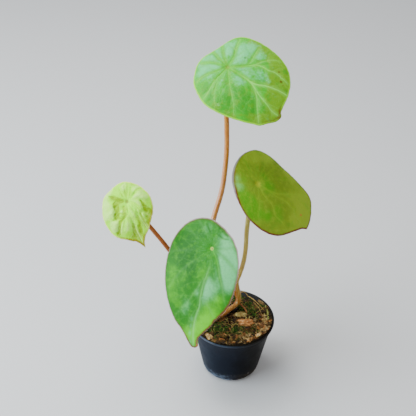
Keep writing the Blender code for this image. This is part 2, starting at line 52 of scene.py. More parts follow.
# Form, relief and colours of each blade. The place and the bend are those of the part's source, and the
# outline follows it. Flat places on a blade are measured from its hub, with x towards the apex.
# grid: points along the margin, and rings from the hub to it.
# vines, creases: main veins, and hollows that sink the blade and darken its colour as painted shade, each its
# points, both end widths and a crease's strength.
# show: how strongly each vein shows, for its whole length or at the hub and at the margin.
# Soft patches of the upper face, each x, y, radius and strength: first the painted sheen, pale reflections of
# the light on the bulges, then warm ones, then deep ones, painted shade in the hollows.
# flush, pale: stained and pale lengths of the margin: compass direction, half width and strength.
# skin and under: colours of the upper and of the lower face.
TOP_LEAF = {
    "hub": (-10.9, 40.0, 284.8), "facing": -20, "tilt": 60, "spin": 65, "slot": "leaf_green",
    "length": 57, "dome": 6.0, "dome_radius": 36, "droop": 5.0, "wave": 0.9, "waves": 4, "grid": (320, 88),
    "pucker": 0.8, "relief": 1.15, "branching": 1.0, "bulge": 0.0, "nibble": 0.22, "crease_depth": 0.0,
    "outline": ((54.9, -2), (54.3, -6.6), (50.4, -13.4), (47.3, -18.2), (43.4, -20.6), (36, -25.5),
                (23, -31.5), (9, -34.5), (-2, -32), (-15, -24.5), (-22.3, -10), (-20.5, 6), (-16, 25),
                (-5.5, 32.5), (13, 36), (30, 33.5), (41, 26), (47, 17.3), (49.6, 11), (51.4, 5), (52.6, 1.4),
                (54.2, -0.2)),
    "vines": (
        (((0, 0), (8, 0.6), (21.7, 1.5), (28, -0.1), (34, -1.6), (42, -2.6), (48, -3.4), (54, -2)),
         1.7, 0.6),
        (((21.7, 1.5), (26.6, 3.3), (31.4, 7.2), (39.7, 11.8), (47.4, 14.5)), 1.3, 0.5),
        (((25.6, 0.9), (32.8, -3.7), (38.5, -9.6), (45.9, -16.9)), 1.3, 0.7),
        (((0, 0), (5.6, 4.3), (11.3, 10.7), (15.2, 15.5), (20.3, 18.1), (25.3, 19), (29.7, 21.5), (41, 22)),
         1.6, 0.5),
        (((11.3, 10.7), (10.7, 15.3), (8.7, 20.9), (6.1, 29.4)), 1.1, 0.5),
        (((15.2, 15.5), (17, 21.8), (20.6, 28.5), (24, 32)), 1.0, 0.5),
        (((0, 0), (-1.4, 6.9), (-4.1, 13.1), (-8.2, 19.7), (-11, 25.5)), 1.4, 0.5),
        (((0, 0), (-4, 2.6), (-10.7, 6.4), (-16.6, 11.6), (-18.8, 13.3)), 1.3, 0.5),
        (((0, 0), (-9.8, 1.2), (-17.7, 3.2), (-20.5, 3.7)), 1.3, 0.5),
        (((0, 0), (-8.8, -3.2), (-14.4, -5.8), (-19.2, -9.6)), 1.3, 0.5),
        (((0, 0), (-2.6, -6.4), (-7.5, -13.1), (-10.6, -19.5), (-11, -24)), 1.4, 0.5),
        (((0, 0), (0.6, -6), (0.3, -12), (0.8, -17.7), (2.6, -25.9), (3.2, -32)), 1.4, 0.5),
        (((0.3, -12), (2.9, -15.2), (6.7, -22.7), (12.5, -29.3)), 1.0, 0.5),
        (((0, 0), (6.1, -5.6), (13.2, -11.8), (19.3, -16.3), (24.1, -20.1), (29, -26)), 1.4, 0.5),
    ),
    "show": (0.9, 1.0, 0.75, 0.75, 0.55, 0.6, 0.6, 0.55, 0.6, 0.6, 0.6, 0.75, 0.5, 0.6),
    "creases": (),
    "bloom": ((-12, -13, 9, 0.9), (-13, -2, 9, 0.8), (-15, 12, 8, 0.9), (-4, 18, 8, 0.9), (5, 24, 7, 0.8),
              (12, 4, 8, 0.5), (24, 10, 7, 0.55), (17, -3, 6, 0.45), (3, -17, 6, 0.38), (15, 24, 5, 0.42),
              (33, -3, 4, 0.35), (42, -8, 4, 0.35), (5, 8, 8, 0.45), (11, -18, 5, 0.2), (30, 12, 4, 0.25)),
    "warm": ((20, 33, 9, 0.9), (34, 27, 10, 1), (44, 16, 11, 1), (50, 3, 10, 1), (50, -12, 8, 0.9),
             (-1, 29, 5, 0.8), (36, 15, 8, 0.7), (8, 33, 7, 0.7), (41, -21, 7, 0.45), (12, -34, 5, 0.4),
             (21, -32, 5, 0.45), (30, -28, 5, 0.45)),
    "deep": ((21, -14, 8, 0.9), (30, -14, 8, 0.8), (18, -26, 8, 0.6), (37, -15, 6, 0.6), (44, 18, 6, 0.6),
             (-3, -24, 6, 0.6), (-11, -18, 5, 0.5), (6, -27, 6, 0.5)),
    "flush": ((359, 5, 0.8), (350, 7, 0.4)),
    "pale": (),
    "skin": {"lamina": (0.038, 0.415, 0.004), "deep": (0.024, 0.29, 0.006), "warm": (0.135, 0.33, 0.001),
             "bloom": (0.084, 0.59, 0.19), "near_vein": (0.11, 0.48, 0.006), "vein": (0.25, 0.77, 0.085),
             "rim": (0.3, 0.72, 0.006), "flush": (0.13, 0.024, 0.004), "hub": (0.14, 0.32, 0.003)},
    "under": ((0.3, 0.42, 0.14), (0.46, 0.47, 0.2)),
}
RIGHT_LEAF = {
    "hub": (16.5, 10.0, 195.3), "facing": 38, "tilt": 55, "spin": 31, "slot": "leaf_olive",
    "length": 57, "dome": 3.5, "dome_radius": 32, "droop": 5.0, "wave": 1.2, "waves": 3, "grid": (312, 84),
    "pucker": 0.5, "relief": 0.5, "branching": 0.7, "bulge": 0.0, "nibble": 0.15, "crease_depth": 0.0,
    "outline": ((57, 0.5), (52.5, -3.5), (48, -10), (37, -24), (23, -30.5), (6, -30.5), (-9, -22.5),
                (-19, -11), (-24, 2), (-23, 16.5), (-15, 29.5), (-2.5, 33.5), (13, 31), (29, 29), (46, 26.5),
                (53, 17), (56.3, 8)),
    "vines": (
        (((0, 0), (9, 0.3), (18.5, 0.8), (27.4, 3.1), (37.2, 2.8), (41.9, 0.5), (51.2, 0.1), (55.5, 0.3)),
         1.7, 0.6),
        (((9, 0.3), (18.1, 3.7), (29.4, 13.5), (40, 22.8), (45, 25.5)), 1.5, 0.6),
        (((0, 0), (7.2, 10.7), (18.7, 20.9), (26.9, 27.1)), 1.4, 0.5),
        (((0, 0), (0.7, 4.8), (2.6, 13.9), (5.7, 24.2), (7.6, 30)), 1.3, 0.5),
        (((0, 0), (-1.8, 7.4), (-1.7, 15.8), (-4, 24.4), (-5, 31.5)), 1.3, 0.5),
        (((0, 0), (-7.1, 7.9), (-13.2, 17.5), (-16.5, 25.5)), 1.3, 0.5),
        (((0, 0), (-7.2, 1.9), (-14.3, 7), (-22, 11)), 1.3, 0.5),
        (((0, 0), (-7.2, -5.6), (-13.6, -8), (-18.6, -10.2)), 1.3, 0.5),
        (((0, 0), (-4.8, -10.6), (-8, -19), (-9.2, -21.8)), 1.3, 0.5),
        (((0, 0), (-0.8, -10.7), (1.5, -22.2), (1.4, -28)), 1.3, 0.5),
        (((0, 0), (3.7, -7.9), (9.3, -16.2), (12.4, -23.1), (18, -29)), 1.3, 0.5),
        (((0, 0), (5.9, -4.5), (11.6, -6.8), (19.1, -8.5), (24.7, -13.4), (32.5, -13.8), (43, -15.5)),
         1.5, 0.5),
    ),
    "show": (0.8, 0.9, 0.5, 0.6, 0.5, 0.5, 0.4, 0.3, 0.35, 0.35, 0.6, 0.8),
    "creases": (),
    "bloom": ((-11.5, -12.5, 4.5, 0.5), (-15.5, -9, 4.5, 0.5), (-19, -5, 3.5, 0.35)),
    "warm": ((40, 22, 12, 0.8), (50, 8, 12, 0.8), (20, 29, 8, 0.9), (-17, 20, 9, 1.0), (-5, 29, 8, 0.9),
             (46, -6, 9, 0.9), (2, 3, 5, 0.35), (30, 10, 8, 0.4), (34, -22, 6, 0.5), (52, 0, 6, 0.7)),
    "deep": ((2, -19, 8, 0.9), (9, -24, 7, 0.8), (-7, -16, 6, 0.7), (9, 3, 7, 0.8), (25, -7, 6, 0.5),
             (20, -19, 6, 0.7), (0, 10, 5, 0.5), (-12, -4, 5, 0.5), (31, -14, 5, 0.5)),
    "flush": ((200, 30, 0.7), (250, 45, 1.0), (310, 40, 1.0), (350, 25, 1.0), (20, 22, 0.8), (150, 30, 0.3)),
    "pale": ((200, 50, 1.0),),
    "skin": {"lamina": (0.168, 0.275, 0.008), "deep": (0.087, 0.32, 0.002), "warm": (0.275, 0.41, 0.014),
             "bloom": (0.17, 0.55, 0.11), "near_vein": (0.25, 0.43, 0.01), "vein": (0.27, 0.45, 0.014),
             "rim": (0.34, 0.315, 0.3), "flush": (0.15, 0.022, 0.003), "hub": (0.38, 0.46, 0.012)},
    "under": ((0.25, 0.3, 0.1), (0.4, 0.32, 0.14)),
}
LEFT_LEAF = {
    "hub": (-89.8, 0.0, 182.4), "facing": -22, "tilt": 48, "spin": 35, "slot": "leaf_young",
    "length": 37, "dome": 5.5, "dome_radius": 24, "droop": 3.5, "wave": 0.7, "waves": 5, "grid": (240, 64),
    "pucker": 1.7, "relief": 1.25, "branching": 0.8, "bulge": 1.5, "nibble": 0.35, "crease_depth": 0.7,
    "outline": ((37, 0), (34, -1.8), (31, -5), (27, -12), (23, -18.5), (15.5, -22.5), (4, -24.5), (-9, -20),
                (-16.5, -9.5), (-17.5, 1.5), (-11.5, 11.5), (-0.5, 18.5), (8, 19), (15.5, 16.7), (25, 10.2),
                (29.5, 5), (33, 2)),
    "vines": (
        (((0, 0), (5.6, -0.2), (11.6, -0.4), (17.9, 0), (23.8, -0.4), (28.5, -0.2), (36, 0)), 1.3, 0.5),
        (((0, 0), (4.2, 5), (9.2, 8.2), (13.4, 10.9), (17, 15)), 1.1, 0.4),
        (((0, 0), (6, 3), (12.9, 5.5), (19, 7), (24.5, 8.5)), 1.1, 0.4),
        (((0, 0), (1.5, 6.5), (3.7, 13.2), (6.2, 18)), 1.0, 0.4),
        (((0, 0), (-1.9, 4.7), (-5.4, 10.6), (-7, 14)), 1.0, 0.4),
        (((0, 0), (-7.2, 3.2), (-15, 5)), 1.0, 0.4),
        (((0, 0), (-6.8, -1.1), (-14.1, -2.8), (-17, -4.4)), 1.0, 0.4),
        (((0, 0), (-5.3, -4.8), (-12.7, -10.7), (-13.6, -12.4)), 1.0, 0.4),
        (((0, 0), (-1.9, -6.6), (-5.5, -15.6), (-6.5, -20)), 1.0, 0.4),
        (((0, 0), (0.7, -6.9), (2.3, -15.3), (3.5, -23.5)), 1.0, 0.4),
        (((0, 0), (5.1, -5.2), (10.9, -12.1), (17, -20.5)), 1.0, 0.4),
        (((0, 0), (8.7, -2.7), (17, -7), (25.2, -13)), 1.1, 0.4),
        (((11.6, -0.4), (17, -2.2), (24.9, -4.5), (30, -5.2)), 0.9, 0.4),
    ),
    "show": (1.0, 0.7, 0.95, 0.35, 0.55, 0.6, 0.4, 0.15, 0.1, 0.1, 0.1, 0.5, 0.3),
    "creases": (
        (((-9.6, -13.6), (-6.7, -10), (-4, -6.9), (-1.4, -3.6)), 0.4, 2.8, 0.8),
        (((-0.8, -9.6), (3.1, -9.6), (6.1, -10.4), (9.9, -11.7)), 3.6, 4.2, 1.0),
        (((9.9, -11.7), (11.4, -9.4), (13.2, -7.5)), 1.8, 1.2, 0.7),
        (((11.1, -3.3), (13.2, -7.5), (15.5, -10.8), (18.5, -13), (21.2, -15.1)), 1.2, 2.4, 0.8),
        (((7.9, -8), (9.6, -5.5), (11.1, -3.3)), 1.2, 1.2, 0.6),
        (((4, -3.3), (5.9, -3.6)), 1.8, 1.4, 0.7),
        (((19.2, -0.6), (23.3, -1.5), (27.2, -2.8)), 1.6, 3.6, 1.0),
        (((3.9, 11.5), (7, 12.5), (9.8, 13), (12.4, 12.9)), 1.2, 2.6, 1.0),
        (((11.1, 15), (13.3, 16.1), (16.2, 14.6)), 1.6, 2.2, 1.0),
        (((13.6, 7.9), (16.8, 7.9), (20.2, 8.5), (22.6, 10.5)), 1.0, 2.0, 0.9),
        (((18.1, 12.4), (20.7, 12.6)), 1.4, 1.6, 0.9),
        (((21.8, 3.4), (27.5, 2.4), (32.4, 1)), 1.8, 3.4, 1.0),
        (((10, 6), (15, 5.2), (20, 4.6)), 0.8, 1.8, 0.6),
        (((10.8, -15.8), (11, -13.1)), 1.4, 1.4, 0.6),
        (((-12.7, 1.9), (-8.4, 1.2), (-4.2, 0.4)), 0.9, 0.7, 0.5),
        (((-9.5, 6.3), (-6.1, 5.1), (-3, 3.6)), 0.9, 0.7, 0.5),
        (((-12.4, -3.1), (-8.7, -2.4), (-4.8, -1.9)), 0.9, 0.8, 0.55),
        (((-3.9, 8.3), (-2.1, 6.1), (-0.7, 4)), 0.9, 0.7, 0.55),
    ),
    "bloom": ((3.7, -15.1, 5, 1), (5, -21, 4, 1), (-4, -19, 5, 0.9), (8, -6.5, 2.2, 0.7),
              (19, -6.5, 4.5, 0.9), (21, -11, 3, 0.8), (14, -15, 4, 0.8), (17, -18, 3, 0.9), (6, 6, 6, 1),
              (10, 3, 4, 0.7), (-2, 11, 4, 0.7), (-5, 10.5, 4, 0.8), (2, 15, 3, 0.8), (-11, -1, 4, 0.7),
              (-16, -11, 4, 0.7), (-12, -15, 4, 0.7), (-8, 13, 4, 0.6), (12.4, 0.5, 2.5, 1),
              (21, 0, 1.8, 0.8), (25, -0.4, 1.3, 0.5), (9.6, 8.5, 2, 0.9), (15, 10, 1.8, 0.9),
              (20, 9.5, 1.5, 0.8), (15.8, 14.4, 1.6, 0.8), (-14, 4, 4, 0.6)),
    "warm": ((5.9, -3, 2.2, 0.9), (10.4, -4.3, 2.4, 0.8), (14, -11, 3, 0.8), (16, 4, 4, 0.4),
             (26, -2, 5, 0.25), (30, 1, 5, 0.25), (24, 8, 4, 0.25), (35, 0, 4, 0.8), (-6, -8, 4, 0.35)),
    "deep": ((8, -12, 4, 0.35), (22, 5, 5, 0.3), (2, -8, 4, 0.4), (29, -2, 4, 0.4), (-5, -9, 4, 0.45),
             (12, 13, 4, 0.45), (20, -13, 4, 0.4), (25, -2, 4, 0.3), (-6, 3, 4, 0.25), (-4, 9, 3, 0.3),
             (29, 0.5, 2.6, 0.55), (27, -2.6, 2.2, 0.45), (26, 2.8, 2.4, 0.5), (20, 9.7, 2.8, 0.5),
             (23.5, 9.2, 2.4, 0.5), (16.5, 13, 2.4, 0.5), (3, -11.5, 2.6, 0.6), (8, -12.4, 2.4, 0.5),
             (-2.6, -5.6, 2.6, 0.5), (-7, -11, 2.4, 0.4), (21, -15.5, 2.4, 0.4), (27.2, -6.4, 2.4, 0.4)),
    "flush": ((350, 22, 0.9), (40, 25, 0.6)),
    "pale": (),
    "skin": {"lamina": (0.35, 0.96, 0.001), "deep": (0.205, 0.38, 0.0), "warm": (0.33, 0.66, 0.0),
             "bloom": (0.54, 0.99, 0.17), "near_vein": (0.46, 0.98, 0.03), "vein": (0.62, 0.99, 0.2),
             "rim": (0.8, 0.99, 0.14), "flush": (0.24, 0.09, 0.004), "hub": (0.22, 0.34, 0.03)},
    "under": ((0.5, 0.56, 0.22), (0.58, 0.5, 0.28)),
}
LOWER_LEAF = {
    "hub": (-20.2, -25.0, 155.3), "facing": -28, "tilt": 40, "spin": 3.2, "slot": "leaf_green",
    "length": 84, "dome": 4.5, "dome_radius": 42, "droop": 7.0, "wave": 1.1, "waves": 3, "grid": (352, 104),
    "pucker": 0.7, "relief": 0.75, "branching": 0.3, "bulge": 0.0, "nibble": 0.3, "crease_depth": 0.3,
    "outline": ((80.9, 3), (82.9, 0.6), (82.9, -3.2), (79, -6.8), (74.6, -9.9), (69.9, -14.4), (64.6, -20.8),
                (49, -30.5), (31, -36.5), (13, -38), (-3, -35), (-17, -25), (-23, -11), (-20, 2),
                (-10.5, 17), (4, 25), (20, 26.8), (33, 26.2), (40, 24.6), (48.3, 20.6), (54.8, 15.8),
                (61.6, 12.2), (66, 8.8), (71.2, 4.7), (75.4, 2.1), (78.6, 1.6)),
    "vines": (
        (((0, 0), (6.4, 1.6), (16.6, 1.9), (27.4, 0.4), (40.2, -0.2), (47.5, 0.2), (59.3, -2), (70.8, -2.4),
          (80.2, -1.4), (83, -1.4)), 1.5, 0.9),
        (((0, 0), (6, 5.4), (13.1, 9.6), (18.3, 11.8), (28, 16.7), (38.4, 20.5), (41, 22.5)), 1.4, 0.5),
        (((0, 0), (2.3, 8.4), (7.7, 18.6), (13, 25)), 1.1, 0.4),
        (((0, 0), (-1.8, 9.5), (-5, 16.8), (-5, 20.5)), 1.1, 0.4),
        (((0, 0), (-5.7, 4.2), (-13.6, 8.8), (-15.5, 10.3)), 1.1, 0.4),
        (((0, 0), (-7.8, -0.5), (-15.3, -0.8), (-20.6, -1.1)), 1.1, 0.4),
        (((0, 0), (-7.5, -4.8), (-14.8, -12.5), (-19.3, -17.2)), 1.1, 0.4),
        (((0, 0), (-2.4, -8.3), (-9, -21.7), (-11.5, -28)), 1.1, 0.4),
        (((0, 0), (3, -9.4), (7.4, -23.3), (12.3, -37)), 1.1, 0.4),
        (((0, 0), (6.9, -5.4), (17.4, -16.5), (29.8, -25.1), (43.5, -31.5)), 1.2, 0.4),
        (((21.7, 1.1), (36.5, -5.5), (47.8, -11), (58.1, -18), (63.5, -20.7)), 1.2, 0.4),
        (((40.2, -0.2), (44.9, 7), (52.1, 13.4), (54.5, 15)), 1.0, 0.4),
        (((47.5, 0.2), (59.7, -6.3), (73.4, -9.2)), 0.9, 0.4),
    ),
    "show": ((0.3, 1.0), (1.0, 0.1), 0.3, 0.25, 0.2, 0.2, 0.2, 0.15, 0.15, (0.25, 0.1), (0.3, 0.15), 0.25,
             0.2),
    "creases": (
        (((-18.5, -9.9), (-14.9, -6.9), (-12.9, -4.5)), 0.8, 1.2, 0.8),
        (((-20.5, -4.2), (-17.8, 1.9), (-13, 10.2)), 1.4, 1.4, 0.8),
        (((-12.4, 2), (-10.1, 7.8), (-10.6, 11.5)), 0.9, 1.0, 0.7),
        (((-16, -17.4), (-11.4, -12.2)), 0.8, 0.8, 0.4),
    ),
    "bloom": ((-11, 9, 6, 0.55), (-2, 13, 7, 0.85), (7, 18, 8, 1), (11, 14, 6, 0.6), (17, 20, 8, 0.9),
              (26, 21, 6, 0.6), (24, 4.5, 3.5, 0.3), (29, 4.5, 4, 0.55), (34, 4, 4, 0.6), (39, 3.5, 4, 0.45),
              (44, 3, 3.5, 0.3), (30, 10, 5, 0.45), (37, 10, 5, 0.3), (21, 14, 5, 0.3), (-15, -8, 5, 0.35),
              (49, -11, 5, 0.3), (56, -12, 4, 0.25), (38, -3, 3.5, 0.4), (60, -3.5, 2.5, 0.6),
              (66, -3.5, 2.5, 0.75), (72, -4, 2.5, 0.8), (79, -3, 2.5, 0.7)),
    "warm": ((57, 8, 8, 0.6), (66, 6, 8, 0.95), (50, 15, 7, 0.45), (74, 1, 7, 1), (45, 6, 5, 0.2),
             (72, -9, 6, 0.5), (22, -3, 6, 0.35), (38, 15, 6, 0.45), (25, -30, 6, 0.3), (36, -27, 6, 0.35),
             (47, -26, 6, 0.35), (51, -18, 5, 0.3), (30, -18, 4, 0.25), (8, -31, 5, 0.2)),
    "deep": ((0, -25, 10, 0.9), (10, -16, 8, 0.8), (14, -26, 9, 0.8), (22, -12, 7, 0.7), (-10, -12, 7, 0.5),
             (34, -14, 7, 0.5), (-16, 4, 5, 0.4)),
    "flush": ((15, 28, 1.0), (45, 20, 0.5), (355, 10, 0.9), (180, 115, 0.42)),
    "pale": ((180, 120, 0.6), (80, 40, 0.5)),
    "skin": {"lamina": (0.019, 0.18, 0.008), "deep": (0.011, 0.125, 0.006), "warm": (0.12, 0.56, 0.005),
             "bloom": (0.132, 0.55, 0.205), "near_vein": (0.06, 0.38, 0.02), "vein": (0.21, 0.66, 0.17),
             "rim": (0.34, 0.25, 0.24), "flush": (0.15, 0.045, 0.015), "hub": (0.56, 0.74, 0.13)},
    "under": ((0.3, 0.4, 0.17), (0.44, 0.38, 0.2)),
}
LEAVES = {"leaf_1": TOP_LEAF, "leaf_2": RIGHT_LEAF, "leaf_3": LEFT_LEAF, "leaf_4": LOWER_LEAF}
BLADE_GAPS = ("vein", "branch", "edge")
BLADE_MASKS = ("show", "bloom", "warm", "deep", "pillow", "pale", "flush")
LAMINA = 0.5
NAVEL_DEPTH = 1.1
NAVEL_RADIUS = 3.2
MARGIN_PUCKER = 0.25
VEIN_STEP = 1.5
CREASE_EDGE = 1.3
CREASE_SOFTNESS = 2.4
# Span of the flat blade that the UV map covers
FLAT_SPAN = 200.0


def linked(name, data):
    """Object with the given data, in the scene."""
    made = bpy.data.objects.new(name, data)
    bpy.context.scene.collection.objects.link(made)
    return made


def mesh_object(name, verts, faces):
    mesh = bpy.data.meshes.new(name)
    mesh.from_pydata(verts, [], faces)
    return linked(name, mesh)


def mark(obj, name, values):
    """One value for each vertex, which a material reads by its name."""
    layer = obj.data.attributes.new(name, "FLOAT", "POINT")
    layer.data.foreach_set("value", np.asarray(values, np.float32))


def catmull_rom(points, step):
    """Points about a step apart on the smooth curve through a few given ones."""
    knots = np.array(points, float)
    ends = np.vstack([2 * knots[0] - knots[1], knots, 2 * knots[-1] - knots[-2]])
    path = []
    for index in range(len(knots) - 1):
        before, start, end, after = ends[index:index + 4]
        count = max(1, round(np.linalg.norm(end - start) / step))
        t = (np.arange(count) / count)[:, None]
        path.append(0.5 * (2 * start + (end - before) * t
                           + (2 * before - 5 * start + 4 * end - after) * t ** 2
                           + (3 * start - before - 3 * end + after) * t ** 3))
    path.append(knots[-1:])
    return np.vstack(path)


def evenly_spaced(path, count):
    """The same closed path as count points at equal distances."""
    steps = np.linalg.norm(np.diff(path, axis=0), axis=1)
    along = np.concatenate([[0], np.cumsum(steps)])
    wanted = np.linspace(0, along[-1], count, endpoint=False)
    return np.stack([np.interp(wanted, along, path[:, axis]) for axis in range(2)], axis=1)


def blade_frame(leaf):
    """Rotation of a blade as columns apex, side and normal."""
    facing = radians(leaf["facing"])
    tilt = radians(leaf["tilt"])
    normal = Vector((sin(facing) * cos(tilt), -cos(facing) * cos(tilt), sin(tilt)))
    fall = (normal * normal.z - Vector((0, 0, 1))).normalized()
    apex_way = Matrix.Rotation(radians(leaf["spin"]), 3, normal) @ fall
    return np.array([apex_way, normal.cross(apex_way), normal]).T


def as_segments(line, start_width=0, end_width=0):
    """Line as rows of both ends and both half widths."""
    widths = np.linspace(start_width, end_width, len(line)) / 2
    return np.column_stack([line[:-1], widths[:-1], line[1:], widths[1:]])


def gap_to(points, segments):
    """Distance from each point to the nearest vein's edge, below zero inside a vein."""
    nearest = np.full(len(points), 99.0)
    for x0, y0, w0, x1, y1, w1 in segments:
        run = np.array([x1 - x0, y1 - y0])
        rel = points - (x0, y0)
        t = np.clip(rel @ run / (run @ run), 0, 1)
        distance = np.hypot(rel[:, 0] - t * run[0], rel[:, 1] - t * run[1])
        nearest = np.minimum(nearest, distance - (w0 + (w1 - w0) * t))
    return nearest


def clearance(point, segments):
    """Distance from one point to the nearest of many segments' edges."""
    start, run = segments[:, :2], segments[:, 3:5] - segments[:, :2]
    t = np.clip(((point - start) * run).sum(1) / (run ** 2).sum(1), 0, 1)
    gap = np.hypot(*(point - start - run * t[:, None]).T)
    return (gap - segments[:, 2] - (segments[:, 5] - segments[:, 2]) * t).min()


def grow_branch(here, heading, edge, others, draw):
    """Trail of one side vein, which curls towards the margin and stops short of it and of other veins."""
    trail = [here]
    sway = draw.uniform(0, 6)
    base, turn = heading
    for step in range(draw.randrange(12, 26)):
        here = here + 0.8 * np.array([cos(base + turn), sin(base + turn)])
        turn *= 0.965
        turn += 0.13 * sin(sway + step * 0.9) + radians(draw.uniform(-5, 5))
        if clearance(here, edge) < 1.4 or (step > 2 and clearance(here, others) < 0.5):
            break
        trail.append(here)
    return trail


def grow_branches(mains, margin, draw):
    """Side veins that leave the main ones on both sides by turns."""
    edge = as_segments(np.vstack([margin, margin[:1]]))
    branches = []
    for number, (line, _, _) in enumerate(mains):
        others = np.vstack([as_segments(other, 0.6, 0.6) for index, (other, _, _) in enumerate(mains)
                            if index != number])
        steps = np.linalg.norm(np.diff(line, axis=0), axis=1)
        along = np.concatenate([[0], np.cumsum(steps)])
        place = 7.5 + draw.uniform(0, 3)
        side = draw.choice((-1, 1))
        while place < along[-1] - 2.5:
            index = int(np.searchsorted(along, place)) - 1
            run = line[index + 1] - line[index]
            heading = (atan2(run[1], run[0]), side * radians(draw.uniform(38, 62)))
            here = line[index] + run * (place - along[index]) / np.linalg.norm(run)
            trail = grow_branch(here, heading, edge, others, draw)
            if len(trail) > 4:
                branches.append((np.array(trail), 0.7, 0.2))
            side = -side
            place += draw.uniform(4.2, 7.5)
    return branches


def bell(distance, width):
    """1 at no distance, falling off smoothly within about the width."""
    return np.exp(-(distance / width) ** 2)


def soft_patches(points, patches):
    """Sum of soft round patches, at most 1."""
    total = np.zeros(len(points))
    for x, y, radius, strength in patches:
        total += strength * np.exp(-((points[:, 0] - x) ** 2 + (points[:, 1] - y) ** 2) / radius ** 2)
    return np.clip(total, 0, 1)


def crawl(points, pitch, seed):
    """Smooth noise of about -1 to 1 for flat points."""
    return np.array([noise.noise(Vector((x / pitch, y / pitch, seed))) for x, y in points])


def around_hub(angle, spans):
    """Strength by compass direction: the strongest of soft-ended spans (centre, half width, strength)."""
    total = np.zeros(len(angle))
    for centre, half, strength in spans:
        off = np.abs((angle - centre + 180) % 360 - 180)
        total = np.maximum(total, strength * np.clip(1.4 - off / half, 0, 1))
    return np.clip(total, 0, 1)


def near_to_far(value, reach):
    """One strength for a whole vein, or a pair that blends from the hub to the margin."""
    near, far = value if isinstance(value, tuple) else (value, value)
    return near + (far - near) * reach


def nibbled_margin(leaf, number):
    """Evenly spaced points of the outline, made a little uneven."""
    margin = evenly_spaced(catmull_rom(leaf["outline"] + (leaf["outline"][0],), 0.5), leaf["grid"][0])
    way = margin / np.linalg.norm(margin, axis=1)[:, None]
    return margin + way * (leaf["nibble"] * crawl(margin, 3.4, 40 + number)
                           + 0.6 * leaf["nibble"] * crawl(margin, 1.5, 50 + number))[:, None]


def blade_rings(margin, rings):
    """Rings of flat points from the hub to the margin, fewer near the hub, and how far out each lies."""
    reaches = [0.0]
    loops = [np.zeros((1, 2))]
    for ring in range(1, rings + 1):
        reach = (ring / rings) ** 0.94
        skip = 4 if reach < 0.10 else 2 if reach < 0.26 else 1
        reaches.append(reach)
        loops.append(margin[::skip] * reach)
    return loops, np.concatenate([np.full(len(loop), reach) for loop, reach in zip(loops, reaches)])


def ring_faces(counts):
    """Faces between rings of which each has as many points as the one inside it, or twice as many."""
    offsets = [0] + np.cumsum(counts).tolist()
    faces = []
    for ring in range(len(counts) - 1):
        inner = range(offsets[ring], offsets[ring + 1])
        outer = range(offsets[ring + 1], offsets[ring + 2])
        for index in range(len(outer)):
            after = (index + 1) % len(outer)
            if len(inner) == 1:
                faces.append((inner[0], outer[after], outer[index]))
            elif len(inner) == len(outer):
                faces.append((inner[index], inner[after], outer[after], outer[index]))
            elif index % 2 == 0:
                faces.append((inner[index // 2], outer[after], outer[index]))
            else:
                half = (index // 2 + 1) % len(inner)
                faces.append((inner[index // 2], inner[half], outer[after], outer[index]))
    return faces


def crease_depths(leaf, flat):
    """How deep each point lies in a crease, from 0 to 1."""
    creases = np.zeros(len(flat))
    for line, start, end, strength in leaf["creases"]:
        gap = gap_to(flat, as_segments(catmull_rom(line, VEIN_STEP), start, end))
        depth = np.clip((CREASE_EDGE - gap) / CREASE_SOFTNESS, 0, 1)
        creases = np.maximum(creases, strength * depth * depth * (3 - 2 * depth))
    return creases


def blade_fields(leaf, flat, reach, margin, draw):
    """Everything that varies over the flat blade: gaps to its veins and margin, relief and patches."""
    mains = [(catmull_rom(line, VEIN_STEP), start, end) for line, start, end in leaf["vines"]]
    branches = grow_branches(mains, margin[::8], draw)
    gaps = np.array([gap_to(flat, as_segments(*main)) for main in mains])
    shows = np.array([near_to_far(value, reach) for value in leaf["show"]])
    branch = gap_to(flat, np.vstack([as_segments(*twig) for twig in branches]))
    edge = gap_to(flat, as_segments(np.vstack([margin[::2], margin[:1]])))
    edge[-len(margin):] = 0
    angle = np.degrees(np.arctan2(flat[:, 1], flat[:, 0])) % 360
    pressed = np.maximum((gaps + 3.5 * (1 - shows)).min(axis=0), 0)
    quilt = 1 - np.exp(-pressed / 3.2)
    side_veins = np.maximum(np.minimum(pressed, branch + 4 * (1 - leaf["branching"])), 0)
    cushion = 1 - np.exp(-side_veins / 1.5)
    creases = crease_depths(leaf, flat)
    bloom, warm, deep = (soft_patches(flat, leaf[key]) for key in ("bloom", "warm", "deep"))
    # Painted sheen: pale reflections of the light on the bulges, kept out of the creases.
    bloom = bloom * (1 - creases)
    # deep: the deep patches and the creases together, painted shade in the hollows.
    return {
        "vein": gaps.min(axis=0), "branch": branch, "edge": edge,
        "show": np.take_along_axis(shows, gaps.argmin(axis=0)[None], 0)[0],
        "radius": np.hypot(flat[:, 0], flat[:, 1]), "angle": angle,
        "pressed": pressed, "quilt": quilt, "cushion": cushion, "pillow": quilt * 0.6 + cushion * 0.4,
        "creases": creases, "bulges": bloom - deep,
        "bloom": bloom, "warm": warm, "deep": 1 - (1 - deep) * (1 - creases),
        "pale": around_hub(angle, leaf["pale"]), "flush": around_hub(angle, leaf["flush"]),
    }


